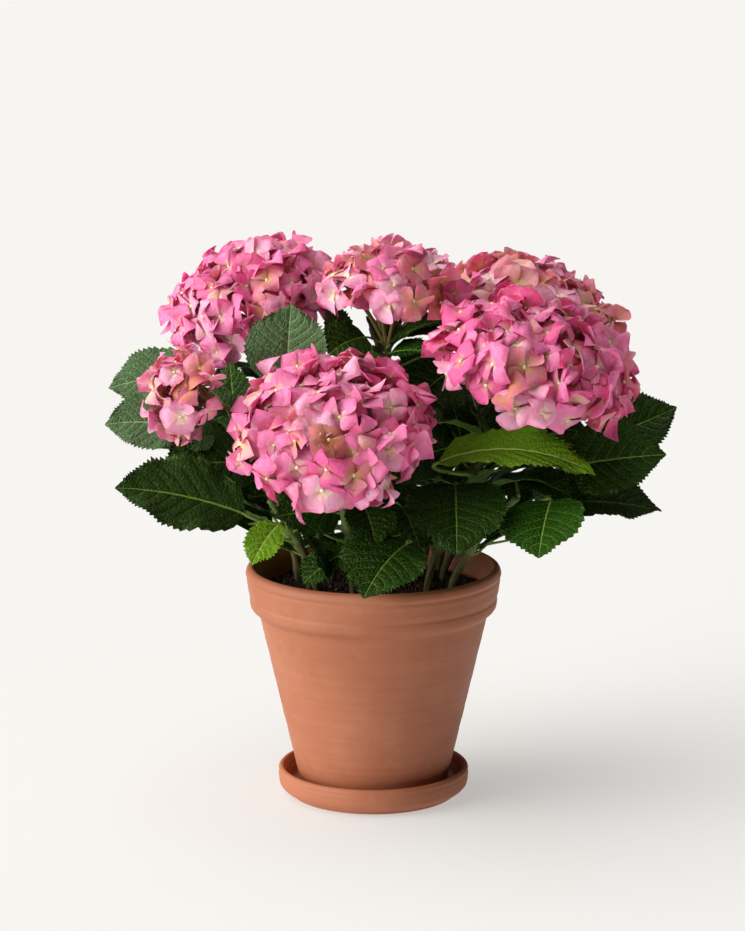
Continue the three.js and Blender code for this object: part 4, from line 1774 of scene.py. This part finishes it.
# florets deep in a head take the shades from this one on
FIRST_DUSKY = list(Blossom).index(Blossom.SALMON)


@dataclass(frozen=True)
class Florets:
    """Four-petalled florets with a bead, made by the hundred.

    Ranges are pairs: how far a floret varies, and how far its petals do on top of that.
    """

    # 0 is the throat, 1 the blade and 2 the edge; rows run to the tip, columns across
    ZONES = ((0, 0, 0, 0), (1, 0, 0, 1), (1, 1, 1, 1), (1, 1, 1, 1), (2, 1, 1, 2), (2, 2, 2, 2))
    ROWS = (0.02, 0.13, 0.31, 0.5, 0.64, 0.83, 1.0)
    COLUMNS = (-1, -0.55, 0, 0.55, 1.0)
    PETALS = 4
    # where the half width is known, as shares of the length and of itself
    STATIONS = (0, 0.13, 0.31, 0.5, 0.64, 0.83, 1)
    WIDTHS = (0.1, 0.28, 0.72, 1, 0.93, 0.52, 0.03)
    # two opposite petals lie over the other two
    LAYERS = (0.6, -0.5, 0.6, -0.5)
    # the bead's stations along its axis and its radii there
    BEAD = ((-0.9, 0.1, 1.1, 1.9), (0.5, 0.95, 0.95, 0.4))
    CUP = ((-0.05, 0.62), 0.16)
    DROOP = ((0.0, 0.5), 0.14)
    CURL = ((-0.2, 0.42), 0.24)

    length: float = 19.5
    width: float = 21.0
    thickness: float = 0.26
    bead: float = 1.7

    def profile(self, share: Array) -> Array:
        """Half the width as a share: it swells to a blunt corner and runs in to a point."""
        return np.interp(share, self.STATIONS, self.WIDTHS)

    def add(self, shell: Shell, middle: Array, outward: Array, size: Array, shade: Array, seed: int) -> None:
        """Adds florets.

        A petal runs out from the bead: it first rises by its cup, then lies down by its droop, a
        line c s - 0.9 (c + d) s^3; its sides curl by v^2 sin(pi s), and it waves a little.

        Args:
            shell: Where they go. Finish numbers are three to a shade, then the bead's.
            middle: The florets' middles.
            outward: The directions that they face.
            size: Sizes as shares of a full floret.
            shade: Numbers of their shades.
            seed: Picks their turns and bends.
        """
        draw = np.random.default_rng(seed)
        count = len(middle)
        first = unit(np.cross(outward, draw.normal(size=(count, 3))))
        second = np.cross(outward, first)
        s = np.array(self.ROWS)[None, None, :, None]
        v = np.array(self.COLUMNS)[None, None, None, :]

        def each(low: float, high: float) -> Array:
            """A number for every petal."""
            return draw.uniform(low, high, (count, self.PETALS, 1, 1))

        def varied(whole: tuple[float, float], part: float) -> Array:
            """A number for every floret and a smaller one for each of its petals."""
            return draw.uniform(*whole, (count, 1, 1, 1)) + each(-part, part)

        quarter = np.arange(self.PETALS) * np.pi / 2
        turn = (quarter[None, :, None, None] + each(-0.14, 0.14))[..., None]
        first, second, face, centre = (a[:, None, None, None] for a in (first, second, outward, middle))
        out = first * np.cos(turn) + second * np.sin(turn)
        side = second * np.cos(turn) - first * np.sin(turn)
        scale = size[:, None, None, None] * each(0.86, 1.1)
        cup, droop, curl = (varied(*limits) for limits in (self.CUP, self.DROOP, self.CURL))
        reach = self.length * scale * (s - 0.12 * np.maximum(cup, 0) * s**2)
        aside = 0.5 * self.width * scale * each(0.86, 1.08) * self.profile(s) * v
        sway = 0.1 * self.width * scale * each(-1, 1) * s**2
        height = self.length * scale * (cup * s - (cup + droop) * 0.9 * s**3)
        height = height + 0.5 * self.width * curl * scale * v**2 * np.sin(np.pi * s)
        layer = np.array(self.LAYERS)[None, :, None, None]
        height = height + 0.9 * np.sin(5 * v * s + each(0, 6.3)) * s + layer
        height = height + 0.6 * np.sin(9 * s + each(0, 6.3)) * np.abs(v) * s
        height = height + each(-0.45, 0.45) * aside
        points = centre + out * reach[..., None] + side * (aside + sway)[..., None] + face * height[..., None]
        normal = unit(np.cross(np.gradient(points, axis=3), np.gradient(points, axis=2)))
        blades = points.reshape(-1, *points.shape[2:])
        lower = blades - self.thickness * normal.reshape(blades.shape)
        finish = np.repeat(3 * shade, self.PETALS)[:, None, None] + np.array(self.ZONES)[None]
        add_thin_blades(shell, blades, lower, finish, finish)
        stations, radii = map(np.array, self.BEAD)
        ends = middle[:, None] + outward[:, None] * (stations * size[:, None])[..., None]
        add_tubes(shell, ends, self.bead * radii * size[:, None], 6, 3 * len(Blossom))


@dataclass
class FlowerHeads:
    """The domed heads: florets over branching rays.

    Florets lie the spacing apart at the seat, a share of the dome's size. Rays end at the main
    share of it, and branch there into side rays that end at the side share.
    """

    RINDS = (
        ("head_stalk", "637530", "4c5526", 0.5, 0.15),
        ("head_ray", "716a33", "574426", 0.55, 0.12),
        ("floret_stalk", "9c7450", "7f5638", 0.55, 0.08),
    )
    # the outer layer's spread, and how far in the inner layer sits and spreads
    LAYERS = ((0.0, 0.07), (-0.19, 0.05))

    spacing: float = 20.5
    seat: float = 0.91
    inner_share: float = 0.5
    edge_room: float = 6
    jitter: float = 0.22
    tilt: float = 0.46
    dusky_share: float = 0.7
    main_share: float = 0.42
    side_share: float = 0.68
    sides_to_main: int = 4
    florets: Florets = field(default_factory=Florets)

    def build(self) -> None:
        """Makes every head's florets and rays."""
        skins = [
            PetalSkin(f"petal_{shade.value}_{zone}", code).material()
            for shade in Blossom
            for zone, code in zip(("throat", "blade", "tip"), BLOSSOM_COLOURS[shade])
        ]
        skins.append(PetalSkin("floret_bead", "efe3c0").material())
        greens = [Rind(*row).material() for row in self.RINDS]
        for seed, (name, shoot) in enumerate((n, s) for n, s in SHOOTS.items() if s.head):
            draw = np.random.default_rng(200 + seed)
            places, outward, size, shade = self._strew(shoot.head, draw)
            petals = Shell()
            self.florets.add(petals, places, outward, size, shade, 300 + seed)
            petals.piece(f"blossom_{name}", skins, "petal", f"flower_{name}")
            rays = Shell()
            self._add_rays(rays, shoot, places - 1.2 * outward, draw)
            rays.piece(f"rays_{name}", greens, "stem")

    @staticmethod
    def spiral(count: int, cap: float) -> tuple[Array, Array]:
        """Polar angles and turns of points spread evenly over a cap, each a golden angle on."""
        number = np.arange(count)
        return np.arccos(1 - (1 - math.cos(cap)) * ((number + 0.5) / count)), number * GOLDEN_ANGLE

    def _strew(self, head: Head, draw: np.random.Generator) -> tuple[Array, Array, Array, Array]:
        """Lays florets over a head: a golden-angle spiral over the dome, and fewer further in.

        Args:
            head: The head.
            draw: Where the random numbers come from.

        Returns:
            The florets' middles, the directions that they face, their sizes and their shades.
        """
        cap = math.radians(head.cap - self.edge_room - head.bare)
        area = 2 * np.pi * head.radius**2 * (1 - math.cos(cap)) * (0.4 + 0.6 * head.share)
        outer = int(area / self.spacing**2)
        counts = (outer, int(outer * self.inner_share))
        polar, turn = (np.concatenate(part) for part in zip(*(self.spiral(n, cap) for n in counts)))
        share = np.concatenate(
            [
                self.seat + seat + draw.uniform(-spread, spread, count)
                for count, (seat, spread) in zip(counts, self.LAYERS)
            ]
        )
        count = len(polar)
        jitter = self.jitter * self.spacing / head.radius
        polar = np.clip(polar + draw.normal(0, jitter, count), 0, cap + 0.14)
        turn = turn + draw.normal(0, jitter, count) / np.maximum(np.sin(polar), 0.3)
        places = head.places(polar, turn, share)
        outward = unit(head.outward(places) + draw.normal(0, self.tilt, places.shape))
        size = draw.uniform(0.8, 1.1, count) * min(1.0, 0.72 + head.radius / 250)
        shade = draw.choice(len(Blossom), count, p=np.array(head.blossom) / sum(head.blossom))
        dusky = (np.arange(count) >= outer) & (draw.uniform(size=count) < self.dusky_share)
        shade = np.where(dusky, draw.integers(FIRST_DUSKY, len(Blossom), count), shade)
        return places, outward, size, shade

    def _add_rays(self, shell: Shell, shoot: Shoot, ends: Array, draw: np.random.Generator) -> None:
        """Adds the head's stalk, its rays in two orders, and a fine stalk to each floret.

        Args:
            shell: Where they go. The finishes are the stalk's, the rays' and the fine stalks'.
            shoot: The shoot that carries the head.
            ends: The florets' undersides.
            draw: Where the random numbers come from.
        """
        head = shoot.head
        tip = np.array(shoot.tip, float)
        way = unit(tip - shoot.at(shoot.tip[2] - 2))
        middle = np.array(head.centre, float)
        fork = tip + head.fork * (middle - tip)
        corners = np.stack([tip - 2 * way, tip + 5 * way, fork - 0.3 * (middle - tip), fork])
        add_tubes(shell, curve(corners[None], 8), np.full((1, 8), Shrub.tip_radius), 10, 0)

        def spread(count: int, share: float) -> Array:
            """Points spread evenly through the dome at a share of its size."""
            return head.places(*self.spiral(count, math.radians(head.cap - 14)), share)

        def nearest(points: Array, others: Array) -> Array:
            """For each point the closest of the others."""
            return others[((points[:, None] - others) ** 2).sum(-1).argmin(1)]

        main = spread(head.rays, self.main_share - 0.45 * min(head.fork, 0))
        side = spread(self.sides_to_main * head.rays, self.side_share)
        side += draw.normal(0, 0.02 * head.radius, side.shape)
        low = unit(main - fork)
        start = np.broadcast_to(fork, main.shape)
        bow = np.linalg.norm(main - fork, axis=1, keepdims=True)
        lifted = start + 0.4 * bow * unit(low + 0.5 * unit(middle - tip))
        paths = curve(np.stack([start, lifted, main - 0.2 * bow * low, main], 1), 7)
        add_tubes(shell, paths, np.linspace(2.1, 1.5, 7)[None].repeat(len(main), 0), 7, 1)
        self._add_branches(shell, nearest(side, main), side, (1.3, 1.0), 1)
        self._add_branches(shell, nearest(ends, side), ends, (0.8, 0.6), 2)

    def _add_branches(
        self, shell: Shell, start: Array, end: Array, thick: tuple[float, float], finish: int
    ) -> None:
        """Adds five-sided branches between pairs of points, bowed down by 0.08 of their length.

        Args:
            shell: Where they go.
            start: Where the branches start.
            end: Where they end.
            thick: Their radii at the start and at the end.
            finish: The finish number.
        """
        step = end - start
        bow = UP * 0.08 * np.linalg.norm(step, axis=1, keepdims=True)
        paths = curve(np.stack([start, start + 0.35 * step - bow, start + 0.7 * step - bow, end], 1), 5)
        add_tubes(shell, paths, np.linspace(*thick, 5)[None].repeat(len(start), 0), 5, finish)


# ---------------------------------------------------------------- studio


@dataclass(frozen=True)
class SoftBox:
    """A soft patch of light in the surrounding sphere.

    It faces the part from a direction, and fades smoothly to nothing where the cosine of the angle
    to that direction falls to edge.
    """

    way: tuple[float, float, float]
    edge: float
    strength: float


@dataclass
class Studio:
    """Camera, light and floor round the part, in metres and radians, the lens in millimetres."""

    SENSOR = 36
    FARTHEST = 200

    camera_place: tuple[float, float, float] = (-0.0008, -2.822, 0.8773)
    pitch: float = 0.21
    lens: float = 136.7
    floor_radius: float = 40.0
    floor_tone: str = "b2b1af"
    # the floor's own glow is painted light that pales the shadows cast on it
    floor_glow: float = 1.0
    light_tone: Colour = (1.0, 0.985, 0.965)
    faint: float = 0.03
    lamps: tuple[SoftBox, ...] = (
        SoftBox((-0.92, -0.37, 0.12), 0.75, 7.1),
        SoftBox((-0.42, 0.13, 0.898), 0.6, 2.3),
    )

    def build(self) -> None:
        """Makes all of it."""
        scene = bpy.context.scene
        scene.view_settings.view_transform = "Standard"
        camera = bpy.data.objects.new("camera", bpy.data.cameras.new("camera"))
        scene.collection.objects.link(camera)
        camera.location = self.camera_place
        camera.rotation_euler = (math.pi / 2 - self.pitch, 0, 0)
        camera.data.lens = self.lens
        camera.data.sensor_width = self.SENSOR
        camera.data.clip_end = self.FARTHEST
        scene.camera = camera
        self._floor()
        self._sky()

    def _floor(self) -> None:
        """A pale disc."""
        sides, rings = 64, 8
        turn = 2 * np.pi * np.arange(sides) / sides
        radius = np.geomspace(0.3, self.floor_radius, rings)[:, None]
        points = np.stack([radius * np.cos(turn), radius * np.sin(turn), 0 * radius * turn], -1)
        count = rings * sides
        side = np.arange(sides)
        fan = np.stack([np.full(sides, count), side, (side + 1) % sides], 1)
        quads = grid_quads(rings, sides, True)[:, ::-1]
        mesh = bpy.data.meshes.new("floor")
        everything = np.vstack([points.reshape(-1, 3), [[0, 0, 0]]])
        mesh.from_pydata(everything.tolist(), [], quads.tolist() + fan.tolist())
        mesh.materials.append(PaleFloor("pale_floor", self.floor_tone, self.floor_glow).material())
        floor = bpy.data.objects.new("floor", mesh)
        bpy.context.scene.collection.objects.link(floor)

    def _sky(self) -> None:
        """Soft light from the boxes: each adds a smooth step of the cosine to its direction."""
        world = bpy.data.worlds.new("soft_light")
        bpy.context.scene.world = world
        world.use_nodes = True
        make = Nodes(world.node_tree)
        make.tree.nodes.clear()
        way = make.node("ShaderNodeTexCoord", {}).outputs["Generated"]
        total = self.faint
        for box in self.lamps:
            toward = tuple(unit(np.array(box.way)))
            dot = make.node("ShaderNodeVectorMath", {0: way, 1: toward}, operation="DOT_PRODUCT")
            steps = {0: dot.outputs["Value"], 1: box.edge, 2: 1.0, 3: 0.0, 4: box.strength}
            patch = make.node("ShaderNodeMapRange", steps, interpolation_type="SMOOTHSTEP")
            total = make.node("ShaderNodeMath", {0: patch.outputs[0], 1: total}).outputs[0]
        tone = (*self.light_tone, 1)
        light = make.node("ShaderNodeBackground", {"Color": tone, "Strength": total})
        make.node("ShaderNodeOutputWorld", {"Surface": light.outputs[0]})


def main() -> None:
    """Builds the studio and the part."""
    logging.basicConfig(level=logging.INFO, format="%(message)s")
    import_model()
    Studio().build()
    ware = ClayWare()
    ware.build()
    Soil().build(ware)
    Shrub().build()
    FlowerHeads().build()
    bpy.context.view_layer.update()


if __name__ == "__main__":
    main()
